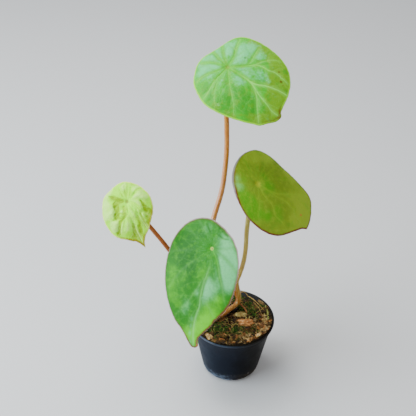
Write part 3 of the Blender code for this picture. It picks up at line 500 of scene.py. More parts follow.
def upper_height(leaf, flat, reach, fields, number):
    """Height of the upper skin: domed, drooping and waved, quilted between its veins, with a navel."""
    radius, relief = fields["radius"], leaf["relief"]
    fade = np.clip(fields["edge"] / 4, 0, 1)
    swell = np.sin(pi * np.minimum(1, reach) ** 0.8) + MARGIN_PUCKER * reach
    around = leaf["waves"] * np.radians(fields["angle"]) + leaf["length"]
    top = (leaf["pucker"] * relief * fields["quilt"] * swell
           - leaf["crease_depth"] * fields["creases"] * fade
           + 0.18 * relief * fields["cushion"] * fade
           + leaf["bulge"] * fields["bulges"] * fade
           + leaf["wave"] * reach ** 4 * np.sin(around)
           - leaf["dome"] * (radius / leaf["dome_radius"]) ** 2
           - leaf["droop"] * (np.maximum(0, flat[:, 0]) / leaf["length"]) ** 2
           - NAVEL_DEPTH * bell(radius, NAVEL_RADIUS))
    top -= 0.14 * relief * bell(fields["pressed"], 0.6) * np.clip(radius / 4, 0, 1)
    top += 0.30 * relief * crawl(flat, 8.0, 20 + number) * np.clip(radius / 8, 0, 1)
    top += 0.10 * relief * crawl(flat, 2.6, SEED + number) * fade
    return top + (0.7 * fields["pale"] - 0.35) * np.exp(-fields["edge"] / 0.8)


def lower_height(top, reach, fields):
    """Height of the lower skin: thinner towards the margin, with the veins standing out as ribs."""
    edge = fields["edge"]
    thickness = LAMINA * (0.5 + 0.5 * np.clip(edge / 2, 0, 1))
    ribs = 0.85 * bell(np.maximum(fields["vein"], 0), 0.45) * (1 - 0.75 * reach)
    ribs = np.maximum(ribs, 0.32 * bell(np.maximum(fields["branch"], 0), 0.35) * (1 - 0.6 * reach))
    return top - thickness - ribs * np.clip(fields["radius"] / 3, 0, 1) * np.clip(edge / 1.5, 0, 1)


def make_blade(name, leaf, number):
    """Upper and lower skin of one blade, closed at the margin, marked for its materials."""
    columns, rings = leaf["grid"]
    margin = nibbled_margin(leaf, number)
    loops, reach = blade_rings(margin, rings)
    flat = np.vstack(loops)
    fields = blade_fields(leaf, flat, reach, margin, random.Random(SEED + number))
    top = upper_height(leaf, flat, reach, fields, number)
    bottom = lower_height(top, reach, fields)
    turned = blade_frame(leaf)
    world = [(np.column_stack([flat, height]) @ turned.T + np.array(leaf["hub"])) * MM
             for height in (top, bottom)]

    upper = ring_faces([len(loop) for loop in loops])
    total = len(flat)
    lower = [tuple(total + corner for corner in face[::-1]) for face in upper]
    last = range(total - columns, total)
    rim = [(here, after, total + after, total + here) for here, after in zip(last, [*last[1:], last[0]])]
    blade = mesh_object(name.replace("leaf", "blade"), np.vstack(world).tolist(), upper + lower + rim)
    mesh = blade.data
    mesh.polygons.foreach_set("use_smooth", [True] * len(mesh.polygons))
    mesh.polygons.foreach_set("material_index", [0] * len(upper) + [1] * len(lower) + [0] * len(rim))
    for key in BLADE_GAPS + BLADE_MASKS:
        mark(blade, key, np.tile(fields[key], 2))
    uv = mesh.uv_layers.new(name="flat")
    corners = np.zeros(len(mesh.loops), np.int32)
    mesh.loops.foreach_get("vertex_index", corners)
    both = np.tile(flat, (2, 1))[corners] / FLAT_SPAN + 0.5
    uv.data.foreach_set("uv", both.astype(np.float32).ravel())
    return blade


# Shader nodes

def add(tree, kind, **settings):
    """One shader node with its settings."""
    made = tree.nodes.new(kind)
    for key, value in settings.items():
        setattr(made, key, value)
    return made


def feed(tree, socket, value):
    """Link an output to a socket, or set the socket's own value."""
    if isinstance(value, bpy.types.NodeSocket):
        tree.links.new(value, socket)
    elif isinstance(value, tuple) and len(value) == 3 and socket.type == "RGBA":
        socket.default_value = (*value, 1.0)
    else:
        socket.default_value = value


def feed_all(tree, node, **values):
    """Feed a node's sockets by their names, with underscores for the spaces."""
    for label, value in values.items():
        feed(tree, node.inputs[label.replace("_", " ")], value)
    return node


def calc(tree, operation, first, second):
    made = add(tree, "ShaderNodeMath", operation=operation)
    feed(tree, made.inputs[0], first)
    feed(tree, made.inputs[1], second)
    return made.outputs[0]


def plus(tree, first, second):
    return calc(tree, "ADD", first, second)


def minus(tree, first, second):
    return calc(tree, "SUBTRACT", first, second)


def times(tree, first, second):
    return calc(tree, "MULTIPLY", first, second)


def swing(tree, value, width):
    """A value around 0.5 turned into one around 0, scaled to a width."""
    return times(tree, minus(tree, value, 0.5), width)


def vector(tree, operation, first, second=None):
    """Vector arithmetic. The second value is a vector, or the factor of a SCALE."""
    made = add(tree, "ShaderNodeVectorMath", operation=operation)
    feed(tree, made.inputs[0], first)
    if second is not None:
        feed(tree, made.inputs["Scale" if operation == "SCALE" else 1], second)
    return made.outputs["Value" if operation in ("LENGTH", "DISTANCE") else "Vector"]


def ease(tree, value, low, high, to_low=0.0, to_high=1.0):
    """Smooth step of a value from low to high."""
    made = add(tree, "ShaderNodeMapRange", interpolation_type="SMOOTHSTEP")
    for socket, given in zip(made.inputs, (value, low, high, to_low, to_high)):
        feed(tree, socket, given)
    return made.outputs[0]


def blend(tree, mask, first, second, kind="MIX"):
    """Second colour over the first one by a mask."""
    made = add(tree, "ShaderNodeMix", data_type="RGBA", blend_type=kind)
    feed(tree, made.inputs[0], mask)
    feed(tree, made.inputs[6], first)
    feed(tree, made.inputs[7], second)
    return made.outputs[2]


def clouds(tree, where, scale, detail=2.0, roughness=0.5, distortion=0.0):
    made = add(tree, "ShaderNodeTexNoise")
    feed_all(tree, made, Vector=where, Scale=scale, Detail=detail, Roughness=roughness, Distortion=distortion)
    return made.outputs["Fac"]


def cells(tree, where, scale, feature="DISTANCE_TO_EDGE"):
    made = add(tree, "ShaderNodeTexVoronoi", feature=feature)
    return feed_all(tree, made, Vector=where, Scale=scale).outputs["Distance"]


def new_group(name, inputs, outputs):
    """Empty node group with its sockets: (name, kind, default)."""
    tree = bpy.data.node_groups.new(name, "ShaderNodeTree")
    for label, kind, default in inputs:
        socket = tree.interface.new_socket(label, in_out="INPUT", socket_type="NodeSocket" + kind)
        if default is not None:
            socket.default_value = (*default, 1.0) if kind == "Color" else default
    for label, kind in outputs:
        tree.interface.new_socket(label, in_out="OUTPUT", socket_type="NodeSocket" + kind)
    return tree, tree.nodes.new("NodeGroupInput").outputs, tree.nodes.new("NodeGroupOutput")


GROUPS = {}
SURFACE = (("Color", "Color"), ("Roughness", "Float"), ("Height", "Float"))


def group_node(tree, name, **values):
    """A group placed in a material with its own values."""
    return feed_all(tree, add(tree, "ShaderNodeGroup", node_tree=GROUPS[name]), **values)


def new_material(name):
    made = bpy.data.materials.new(name)
    made.use_nodes = True
    return made, made.node_tree, made.node_tree.nodes["Principled BSDF"]


def bump(tree, shader, height, distance):
    made = feed_all(tree, add(tree, "ShaderNodeBump"), Strength=1.0, Distance=distance, Height=height)
    feed(tree, shader.inputs["Normal"], made.outputs["Normal"])


def attribute(tree, name):
    return add(tree, "ShaderNodeAttribute", attribute_name=name).outputs["Fac"]


def object_point(tree):
    return add(tree, "ShaderNodeTexCoord").outputs["Object"]


# Leaf finishes

def spokes(tree, flat, span):
    """Coordinates for streaks that run out from the hub."""
    lift = add(tree, "ShaderNodeCombineXYZ")
    feed(tree, lift.inputs["Z"], times(tree, span, 0.11))
    return vector(tree, "ADD", vector(tree, "SCALE", vector(tree, "NORMALIZE", flat), 4.5), lift.outputs[0])


def vein_nets(tree, flat):
    """Coarse and fine net of the smallest veins, with wandering lines."""
    wobble = add(tree, "ShaderNodeTexNoise")
    feed_all(tree, wobble, Vector=flat, Scale=0.35)
    warped = vector(tree, "ADD", flat, vector(tree, "SCALE", wobble.outputs["Color"], 2.4))
    return [ease(tree, cells(tree, warped, scale), 0.1, 0.0) for scale in (0.3, 0.95)]


def lamina_patches(tree, take, noises):
    """Ground colour of the blade with its patches of painted shade, warm colour and painted sheen, and the
    mask of the painted sheen.
    """
    wide, middle, fine, rays = noises
    rough = take["Raggedness"]
    ragged = times(tree, plus(tree, swing(tree, wide, 0.7), swing(tree, rays, 0.9)), rough)
    crumbly = plus(tree, swing(tree, middle, 1.1), swing(tree, fine, 0.45))
    broken = plus(tree, ragged, times(tree, crumbly, rough))
    starts = minus(tree, 0.46, take["Softness"])
    ends = plus(tree, 0.46, take["Softness"])
    # Painted shade in the hollows and creases.
    deep = ease(tree, plus(tree, take["Deep mask"], ragged), 0.15, 0.8)
    warm = ease(tree, plus(tree, take["Warm mask"], broken), starts, ends)
    groove = times(tree, ease(tree, take["Vein gap"], 2.6, 0.0), ease(tree, take["Show mask"], 0.15, 0.55))
    domed = ease(tree, take["Pillow mask"], 0.2, 0.8, 0.45, 1.0)
    # Painted sheen: pale reflections of the light, on the bulges and away from the veins.
    bloom = times(tree, ease(tree, plus(tree, take["Bloom mask"], broken), starts, ends),
                  times(tree, minus(tree, 1.0, groove), domed))
    mottle = take["Mottle"]
    colour = blend(tree, deep, take["Lamina"], take["Deep"])
    for mask, over in (
            (warm, "Warm"),
            (times(tree, ease(tree, middle, 0.48, 0.66), mottle), "Warm"),
            (times(tree, ease(tree, rays, 0.5, 0.3), mottle), "Deep"),
            (times(tree, ease(tree, fine, 0.58, 0.75), times(tree, mottle, 0.5)), "Vein"),
            (times(tree, bloom, ease(tree, fine, 0.25, 0.6, 0.72, 0.95)), "Bloom")):
        colour = blend(tree, mask, colour, take[over])
    return colour, bloom


def vein_lines(tree, take, colour, fine, tone):
    """Side veins, and over them the main veins with a soft halo. Also the masks of both."""
    faint = times(tree, take["Vein strength"], take["Show mask"])
    twig = times(tree, ease(tree, take["Branch gap"], 0.55, -0.2), take["Twig strength"])
    colour = blend(tree, twig, colour, tone)
    halo = times(tree, ease(tree, take["Vein gap"], 2.4, 0.0), times(tree, faint, 0.3))
    blur = times(tree, take["Vein blur"], minus(tree, 1.6, take["Show mask"]))
    core = times(tree, ease(tree, take["Vein gap"], blur, times(tree, blur, -0.7)), faint)
    core = times(tree, core, ease(tree, fine, 0.2, 0.5, 0.7, 1.0))
    return blend(tree, calc(tree, "MAXIMUM", halo, core), colour, tone), core, twig


def hub_mark(tree, take, colour, span):
    """Darker or paler point of the hub, which runs out a little along the veins."""
    radius = take["Hub radius"]
    glow = ease(tree, span, times(tree, radius, 2.2), times(tree, radius, 0.3))
    near = ease(tree, span, times(tree, radius, 4.0), radius)
    runs = times(tree, ease(tree, take["Vein gap"], 0.5, -0.3), near)
    return blend(tree, calc(tree, "MAXIMUM", glow, runs), colour, take["Hub"])


def margin_lines(tree, take, colour, fine, rays):
    """Pale rim of the blade and the flushed line inside it."""
    width = times(tree, take["Rim width"], ease(tree, take["Pale mask"], 0.0, 1.0, 1.0, take["Pale spread"]))
    inside = ease(tree, take["Edge gap"], times(tree, width, 2.4), times(tree, width, 0.9))
    uneven = ease(tree, plus(tree, fine, rays), 0.75, 1.05, 0.35, 1.0)
    line = times(tree, inside, times(tree, take["Flush mask"], uneven))
    colour = blend(tree, line, colour, take["Flush"])
    rim = ease(tree, take["Edge gap"], width, times(tree, width, 0.45))
    stained = times(tree, take["Flush mask"], ease(tree, take["Pale mask"], 0.2, 0.8, 0.9, 0.0))
    return blend(tree, times(tree, rim, 0.92), colour, blend(tree, stained, take["Rim"], take["Flush"]))


TUNED = ("Vein strength", "Twig strength", "Net strength", "Rim width", "Hub radius", "Mottle", "Vein blur",
         "Pale spread", "Raggedness", "Softness", "Ray strength")


def leaf_skin_group():
    """Upper skin of a blade: soft patches with painted sheen and painted shade, veins, fine net, rim and
    flushed margin.
    """
    gaps = ("Vein gap", "Branch gap", "Edge gap")
    masks = ("Show mask", "Pillow mask", "Bloom mask", "Warm mask", "Deep mask", "Flush mask", "Pale mask")
    colours = ("Lamina", "Deep", "Warm", "Bloom", "Near vein", "Vein", "Rim", "Flush", "Hub")
    tree, take, out = new_group(
        "leaf_skin",
        [("Flat", "Vector", None)] + [(label, "Float", 5.0) for label in gaps]
        + [(label, "Float", 0.0) for label in masks]
        + [(label, "Color", (0.3, 0.5, 0.1)) for label in colours]
        + [(label, "Float", 0.5) for label in TUNED],
        SURFACE)
    flat = take["Flat"]
    wide = clouds(tree, flat, 0.09, 3, 0.55)
    middle = clouds(tree, flat, 0.22, 3, 0.55)
    fine = clouds(tree, flat, 0.55, 3, 0.6)
    span = vector(tree, "LENGTH", flat)
    radial = spokes(tree, flat, span)
    rays = clouds(tree, radial, 1.0, 3, 0.6)
    thin_rays = clouds(tree, radial, 3.2, 2, 0.5)
    net, fine_net = vein_nets(tree, flat)

    colour, bloom = lamina_patches(tree, take, (wide, middle, fine, rays))
    # Thin streaks of painted sheen that run out from the hub.
    streaks = times(tree, ease(tree, thin_rays, 0.5, 0.68),
                    times(tree, ease(tree, span, 26.0, 3.0), take["Ray strength"]))
    colour = blend(tree, streaks, colour, take["Bloom"])
    webbing = times(tree, calc(tree, "MAXIMUM", net, times(tree, fine_net, 0.4)), take["Net strength"])
    colour = blend(tree, webbing, colour, take["Near vein"])
    tone = blend(tree, ease(tree, minus(tree, span, times(tree, bloom, 6.0)), 8.0, 26.0),
                 take["Near vein"], take["Vein"])
    colour, core, twig = vein_lines(tree, take, colour, fine, tone)
    colour = hub_mark(tree, take, colour, span)
    colour = margin_lines(tree, take, colour, fine, rays)

    rough = plus(tree, ease(tree, fine, 0.3, 0.7, 0.38, 0.5), times(tree, core, 0.06))
    sunk_net = times(tree, net, times(tree, take["Net strength"], -2.5))
    height = plus(tree, sunk_net, times(tree, clouds(tree, flat, 3.2, 2), 0.22))
    height = plus(tree, height, times(tree, middle, 0.8))
    feed_all(tree, out, Color=colour, Roughness=rough, Height=plus(tree, height, times(tree, twig, -0.8)))
    return tree


def blemish_group():
    """Small round natural spot in a blade."""
    tree, take, out = new_group(
        "blemish",
        [("Color", "Color", (0.3, 0.5, 0.2)), ("Flat", "Vector", None), ("Centre", "Vector", (0, 0, 0)),
         ("Radius", "Float", 1.0), ("Spot", "Color", (0.1, 0.05, 0.02))],
        [("Color", "Color")])
    away = vector(tree, "DISTANCE", take["Flat"], take["Centre"])
    ragged = times(tree, clouds(tree, take["Flat"], 1.3, 2), 0.9)
    mask = ease(tree, plus(tree, away, ragged), plus(tree, take["Radius"], 0.7),
                times(tree, take["Radius"], 0.6))
    feed_all(tree, out, Color=blend(tree, times(tree, mask, 0.85), take["Color"], take["Spot"]))
    return tree


# Spots of each blade: place on the flat blade, radius and colour
SPOTS = {
    "leaf_1": (((5.3, 14.4, 0), 1.1, (0.02, 0.16, 0.01)), ((31.2, 24.2, 0), 1.1, (0.1, 0.05, 0.006)),
               ((37.6, 19.1, 0), 1.4, (0.11, 0.055, 0.006)), ((35.0, 22.5, 0), 0.6, (0.14, 0.1, 0.008)),
               ((40.5, 18.0, 0), 0.6, (0.14, 0.1, 0.008))),
    "leaf_2": (((45.5, 4.9, 0), 1.2, (0.52, 0.11, 0.02)),),
    "leaf_3": (((1.2, 0.6, 0), 0.7, (0.25, 0.25, 0.08)),),
    "leaf_4": (((0.1, 0.2, 0), 1.0, (0.12, 0.085, 0.012)), ((80.6, 2.2, 0), 1.5, (0.36, 0.12, 0.02))),
}
# Values of the leaf skin group for each blade, in the order of TUNED
LEAF_TUNING = {
    "leaf_1": (0.9, 0.12, 0.14, 1.2, 0.7, 0.6, 0.9, 1.0, 1.0, 0.32, 0.3),
    "leaf_2": (0.75, 0.1, 0.1, 0.7, 1.0, 0.4, 1.7, 2.6, 0.45, 0.42, 0.06),
    "leaf_3": (0.8, 0.25, 0.1, 0.9, 0.6, 0.24, 0.5, 1.0, 0.5, 0.25, 0.1),
    "leaf_4": (0.72, 0.05, 0.04, 0.8, 0.5, 0.16, 1.4, 1.5, 0.26, 0.45, 0.15),
}
LEAF_SPECULAR = {"leaf_1": 0.22, "leaf_2": 0.16, "leaf_3": 0.0, "leaf_4": 0.12}


def leaf_material(name, leaf):
    """Upper face of a blade."""
    made, tree, shader = new_material(name + "_upper")
    centred = add(tree, "ShaderNodeVectorMath", operation="MULTIPLY_ADD")
    feed(tree, centred.inputs[0], add(tree, "ShaderNodeUVMap", uv_map="flat").outputs["UV"])
    feed(tree, centred.inputs[1], (FLAT_SPAN, FLAT_SPAN, 0))
    feed(tree, centred.inputs[2], (-FLAT_SPAN / 2, -FLAT_SPAN / 2, 0))
    flat = centred.outputs[0]
    gaps = {key.capitalize() + "_gap": attribute(tree, key) for key in BLADE_GAPS}
    masks = {key.capitalize() + "_mask": attribute(tree, key) for key in BLADE_MASKS}
    colours = {key.capitalize(): value for key, value in leaf["skin"].items()}
    tuning = dict(zip(TUNED, LEAF_TUNING[name]))
    skin = group_node(tree, "leaf_skin", Flat=flat, **gaps, **masks, **colours, **tuning).outputs
    colour = skin["Color"]
    for centre, radius, spot in SPOTS[name]:
        colour = group_node(tree, "blemish", Color=colour, Flat=flat, Centre=centre, Radius=radius,
                            Spot=spot).outputs["Color"]
    feed_all(tree, shader, Base_Color=colour, Roughness=skin["Roughness"],
             Specular_IOR_Level=LEAF_SPECULAR[name], Subsurface_Weight=0.12,
             Subsurface_Radius=(0.35, 0.8, 0.15), Subsurface_Scale=0.0012, Coat_Weight=0.02,
             Coat_Roughness=0.3)
    bump(tree, shader, skin["Height"], 0.00025)
    return made


def underside_material(name, leaf):
    """Paler lower face with its raised veins."""
    made, tree, shader = new_material(name + "_lower")
    lamina, vein_colour = leaf["under"]
    where = object_point(tree)
    blotch = clouds(tree, where, 140, 3, 0.6)
    colour = blend(tree, ease(tree, blotch, 0.3, 0.7), lamina, tuple(0.78 * part for part in lamina))
    net = ease(tree, cells(tree, where, 330), 0.09, 0.0, 0.0, 0.5)
    colour = blend(tree, net, colour, vein_colour)
    twig = ease(tree, attribute(tree, "branch"), 0.3, -0.1, 0.0, 0.75)
    core = ease(tree, attribute(tree, "vein"), 0.35, -0.2)
    colour = blend(tree, calc(tree, "MAXIMUM", twig, core), colour, vein_colour)
    rim = ease(tree, attribute(tree, "edge"), 1.2, 0.4, 0.0, 0.8)
    colour = blend(tree, rim, colour, leaf["skin"]["rim"])
    feed_all(tree, shader, Base_Color=colour, Roughness=ease(tree, blotch, 0.3, 0.7, 0.5, 0.62))
    bump(tree, shader, net, 0.00012)
    return made


# Finishes of the stalks, the bark and the pot

def stalk_skin_group():
    """Fleshy stalk: colour from base to top, long pale streaks and small flecks."""
    tree, take, out = new_group(
        "stalk_skin",
        [("Where", "Vector", None), ("Along", "Float", 0.5), ("Base", "Color", (0.3, 0.1, 0.03)),
         ("Top", "Color", (0.5, 0.25, 0.1)), ("Streak", "Color", (0.7, 0.5, 0.35))],
        SURFACE)
    where = take["Where"]
    streaks = clouds(tree, vector(tree, "MULTIPLY", where, (900, 900, 70)), 1.0, 3, 0.55)
    blotch = clouds(tree, where, 160, 3, 0.6)
    climb = ease(tree, plus(tree, take["Along"], swing(tree, blotch, 0.35)), 0.0, 1.0)
    colour = blend(tree, climb, take["Base"], take["Top"])
    colour = blend(tree, ease(tree, streaks, 0.48, 0.72, 0.0, 0.55), colour, take["Streak"])
    flecks = cells(tree, vector(tree, "MULTIPLY", where, (1500, 1500, 500)), 1.0, "F1")
    fleck = ease(tree, flecks, 0.22, 0.08, 0.0, 0.5)
    colour = blend(tree, fleck, colour, take["Streak"])
    feed_all(tree, out, Color=colour, Roughness=ease(tree, blotch, 0.3, 0.7, 0.34, 0.46),
             Height=plus(tree, streaks, times(tree, fleck, 0.4)))
    return tree


def grain_group():
    """Dry woody colour: long grain, darker pits and a worn pale crest."""
    tree, take, out = new_group(
        "wood_grain",
        [("Where", "Vector", None), ("Dark", "Color", (0.05, 0.02, 0.01)),
         ("Middle", "Color", (0.3, 0.15, 0.06)), ("Light", "Color", (0.5, 0.35, 0.18)),
         ("Pitch", "Float", 300.0), ("Tone", "Float", 0.5)],
        SURFACE)
    where = take["Where"]
    broad = clouds(tree, where, take["Pitch"], 4, 0.6)
    fibres = clouds(tree, vector(tree, "MULTIPLY", where, (1.0, 3.2, 3.2)), take["Pitch"], 4, 0.65, 0.6)
    colour = blend(tree, ease(tree, fibres, 0.34, 0.62), take["Dark"], take["Middle"])
    colour = blend(tree, ease(tree, broad, 0.48, 0.72), colour, take["Light"])
    colour = blend(tree, 1.0, colour, plus(tree, times(tree, take["Tone"], 1.3), 0.35), "MULTIPLY")
    feed_all(tree, out, Color=colour, Roughness=ease(tree, fibres, 0.3, 0.7, 0.92, 0.7),
             Height=plus(tree, fibres, times(tree, broad, 0.5)))
    return tree


# Colour and strength of the painted highlight on the side of the stalks that faces the window lamp
HIGHLIGHT_PAINT_COLOUR = (0.84, 0.5, 0.4)
HIGHLIGHT_PAINT_STRENGTH = 0.6


def stalk_material(name, shine, base, top, streak):
    """Fleshy skin with a painted highlight on the side that faces the window lamp, and a coat that is shinier
    in the lower half.
    """
    made, tree, shader = new_material(name)
    skin = group_node(tree, "stalk_skin", Where=object_point(tree), Along=attribute(tree, "along"), Base=base,
                      Top=top, Streak=streak).outputs
    sheen = times(tree, attribute(tree, "sheen"), HIGHLIGHT_PAINT_STRENGTH)
    colour = blend(tree, sheen, skin["Color"], HIGHLIGHT_PAINT_COLOUR)
    feed_all(tree, shader, Base_Color=colour, Roughness=skin["Roughness"],
             Subsurface_Weight=0.1, Subsurface_Radius=(0.8, 0.35, 0.15), Subsurface_Scale=0.001,
             Specular_IOR_Level=0.2, Coat_Roughness=0.2, Coat_IOR=1.7,
             Coat_Weight=ease(tree, attribute(tree, "along"), 0.75, 0.52, 0.12, shine))
    bump(tree, shader, skin["Height"], 0.0001)
    return made


def woody_material(name, colours, pitch, toned=False):
    """Wood grain in a dark, a middle and a light colour. Toned, each loose bit has its own lightness."""
    made, tree, shader = new_material(name)
    dark, middle, light = colours
    skin = group_node(tree, "wood_grain", Where=object_point(tree), Dark=dark, Middle=middle, Light=light,
                      Pitch=pitch, Tone=attribute(tree, "tone") if toned else 0.5).outputs
    feed_all(tree, shader, Base_Color=skin["Color"], Roughness=skin["Roughness"], Specular_IOR_Level=0.35)
    bump(tree, shader, skin["Height"], 0.0003)
    return made


def pot_material():
    """Thin black plastic: painted cool light on its front left, dust round the foot, scuffs, and a lip with
    rubbed wear and a painted highlight.
    """
    made, tree, shader = new_material("pot_black")
    where = object_point(tree)
    split = add(tree, "ShaderNodeSeparateXYZ")
    feed(tree, split.inputs[0], where)
    height = split.outputs["Z"]
    cloud = clouds(tree, where, 55, 4, 0.6)
    fine = clouds(tree, where, 420, 3, 0.6)
    streaks = clouds(tree, vector(tree, "MULTIPLY", where, (320, 320, 18)), 1.0, 3, 0.6)

    # body: painted cool light on its front left, fading to plain black on the right and at the back
    across = plus(tree, split.outputs["X"], swing(tree, cloud, 0.03))
    turned = plus(tree, across, times(tree, calc(tree, "MAXIMUM", split.outputs["Y"], 0.0), 1.6))
    colour = blend(tree, ease(tree, turned, -0.034, -0.004), (0.0064, 0.014, 0.028),
                   (0.0062, 0.0088, 0.016))
    colour = blend(tree, ease(tree, turned, -0.004, 0.018), colour, (0.0024, 0.0017, 0.0012))
    for drift in (ease(tree, cloud, 0.4, 0.75, 0.0, 0.25), ease(tree, streaks, 0.55, 0.8, 0.0, 0.35)):
        colour = blend(tree, drift, colour, (0.008, 0.012, 0.02))
    inner = times(tree, attribute(tree, "inside"), ease(tree, cloud, 0.3, 0.7, 0.6, 1.0))
    colour = blend(tree, inner, colour, (0.06, 0.062, 0.062))

    # foot: patchy dust, painted bluish by the cool light on the left and brown on the right, pale specks and
    # scuffs
    foot = ease(tree, plus(tree, height, times(tree, fine, 0.01)), 0.0185, 0.006)
    patchy = clouds(tree, vector(tree, "MULTIPLY", where, (170, 170, 420)), 1.0, 3, 0.6)
    dust = times(tree, foot, ease(tree, patchy, 0.42, 0.6, 0.14, 1.0))
    dust_with_painted_light = blend(tree, ease(tree, turned, -0.012, 0.014), (0.21, 0.27, 0.37), (0.07, 0.056, 0.038))
    colour = blend(tree, times(tree, dust, 0.8), colour, dust_with_painted_light)
    low_down = times(tree, ease(tree, height, 0.012, 0.005), ease(tree, cloud, 0.42, 0.52))
    specks = times(tree, ease(tree, cells(tree, where, 210, "F1"), 0.26, 0.14), low_down)
    colour = blend(tree, specks, colour, (0.38, 0.33, 0.3))
    scuff = times(tree, ease(tree, clouds(tree, where, 150, 2), 0.7, 0.78), ease(tree, height, 0.045, 0.02))
    colour = blend(tree, times(tree, scuff, 0.45), colour, (0.055, 0.06, 0.07))

    # lip: paler with rubbed wear and a painted highlight, bluish on the left; the coat's real gloss is also
    # most on its left
    lip = times(tree, ease(tree, height, 0.0549, 0.056), ease(tree, cloud, 0.25, 0.65, 0.25, 0.9))
    lip_wear_and_highlight = blend(tree, ease(tree, across, -0.012, 0.02), (0.052, 0.08, 0.125), (0.034, 0.031, 0.028))
    colour = blend(tree, times(tree, lip, 0.7), colour, lip_wear_and_highlight)
    rough = plus(tree, ease(tree, cloud, 0.3, 0.7, 0.36, 0.5), times(tree, dust, 0.3))
    feed_all(tree, shader, Base_Color=colour, Roughness=rough, Specular_IOR_Level=0.035, Coat_Roughness=0.3,
             Coat_Weight=times(tree, lip, ease(tree, across, 0.006, -0.022, 0.05, 0.9)))
    bump(tree, shader, plus(tree, fine, times(tree, streaks, 0.6)), 0.00006)
    return made


# Modelling by hand

def start():
    """Object mode with nothing selected."""
    if bpy.context.object and bpy.context.object.mode != "OBJECT":
        bpy.ops.object.mode_set(mode="OBJECT")
    bpy.ops.object.select_all(action="DESELECT")


def only(obj):
    start()
    obj.select_set(True)
    bpy.context.view_layer.objects.active = obj


def settle(obj):
    """Put an object's place into its mesh and apply its modifiers."""
    only(obj)
    for modifier in list(obj.modifiers):
        bpy.ops.object.modifier_apply(modifier=modifier.name)
    bpy.ops.object.transform_apply(location=True, rotation=True, scale=True)


def join(name, objects):
    start()
    for obj in objects:
        obj.select_set(True)
    bpy.context.view_layer.objects.active = objects[0]
    bpy.ops.object.join()
    objects[0].name = name
    objects[0].data.name = name
    return objects[0]


def finish(obj, name, materials, replaced=()):
    """Name, finish and place of a piece in the frame."""
    obj.name = name
    obj.data.name = name
    obj.data.materials.clear()
    for made in materials:
        obj.data.materials.append(made)
    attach(obj, "root")
    if replaced:
        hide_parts(*replaced)


def rod(points, radii, sides, turns):
    """Round rod through points in millimetres: a curve with a bevel, made a mesh."""
    start()
    bpy.ops.curve.primitive_bezier_curve_add(location=(0, 0, 0))
    curve = bpy.context.object
    spline = curve.data.splines[0]
    spline.bezier_points.add(len(points) - 2)
    for bend, point, radius in zip(spline.bezier_points, points, radii):
        bend.co = Vector(point) * MM
        bend.handle_left_type = bend.handle_right_type = "AUTO"
        bend.radius = radius
    curve.data.dimensions = "3D"
    curve.data.resolution_u = turns
    curve.data.bevel_depth = MM
    curve.data.bevel_resolution = sides
    curve.data.use_fill_caps = True
    bpy.ops.object.convert(target="MESH")
    return bpy.context.object


def mark_along(obj, ring_size):
    """How far each vertex lies along its rod, from 0 to 1."""
    count = len(obj.data.vertices)
    rings = count // ring_size
    mark(obj, "along", np.minimum(np.arange(count) // ring_size, rings - 1) / (rings - 1))


def roughen(obj, strength, size, kind="CLOUDS"):
    """Small lumps of the surface, applied."""
    texture = bpy.data.textures.new(obj.name + "_lumps", kind)
    texture.noise_scale = size
    modifier = obj.modifiers.new("lumps", "DISPLACE")
    modifier.texture = texture
    modifier.strength = strength
    modifier.mid_level = 0.5
    modifier.texture_coords = "LOCAL"
    settle(obj)


# Stalks and rhizome

# Routes of the stalks up to the blades, much as in the part's source. run_in: length of the straight
# end. shine: strength of the coat's gloss and of the painted highlight. colours: base, top and streaks.
STALKS = {
    "petiole_1": {
        "leaf": "leaf_1", "radius": (2.6, 1.85), "run_in": 10, "slot": "petiole", "shine": 0.7,
        "route": ((-13.2, 6.3, 58.3), (-14.2, 6.3, 66), (-18.5, 6, 82), (-22.5, 8.5, 108), (-21.8, 14, 135),
                  (-18.6, 20, 152.8), (-12.3, 29, 175.2), (-10.4, 33, 190.7), (-9.3, 38, 209.2),
                  (-9.7, 42, 226.2), (-10.3, 44.5, 240)),
        "colours": ((0.52, 0.17, 0.01), (0.49, 0.165, 0.008), (0.64, 0.32, 0.07)),
    },
    "petiole_2": {
        "leaf": "leaf_2", "radius": (2.05, 2.05), "run_in": 13, "slot": "petiole_ochre", "shine": 0.15,
        "route": ((-11.5, -1, 59.4), (-7.4, 1.4, 60.2), (-0.8, 8.3, 60.6), (3.6, 12.6, 61.2),
                  (5.7, 13.6, 64.5), (5.7, 13.3, 69), (4.9, 12.7, 76), (3.2, 12, 85), (3.1, 12, 90),
                  (4.9, 12, 96.5), (7.2, 12.6, 106), (8.9, 13.5, 117), (9.5, 14.3, 129), (9.5, 14.6, 142),
                  (10.2, 14.8, 157.5)),
        "colours": ((0.34, 0.112, 0.016), (0.47, 0.37, 0.065), (0.62, 0.54, 0.17)),
    },
    "petiole_3": {
        "leaf": "leaf_3", "radius": (1.9, 1.75), "run_in": 10, "slot": "petiole", "shine": 0.0,
        "route": ((-18.5, -2, 59), (-21, -2.2, 67), (-30, -2.2, 86), (-43.6, -1.5, 111.8),
                  (-56.4, 0.5, 133.4), (-72, 2.5, 155.8)),
        "colours": ((0.3, 0.08, 0.014), (0.39, 0.108, 0.018), (0.44, 0.16, 0.032)),
    },
    "petiole_4": {
        "leaf": "leaf_4", "radius": (1.8, 1.6), "run_in": 12, "slot": "petiole", "shine": 0.1,
        "route": ((-8.8, 4.4, 57), (-5.6, 8, 57.2), (-0.6, 12.4, 57.4), (4, 16.8, 59), (4.9, 17.8, 63.5),
                  (3.4, 17, 69), (1.7, 16.3, 77), (-0.6, 14.5, 88), (-4.2, 9, 106), (-9.5, -1.5, 130)),
        "colours": ((0.5, 0.17, 0.035), (0.46, 0.155, 0.028), (0.6, 0.31, 0.1)),
    },
}
STALK_SIDES = 6
STALK_TURNS = 10
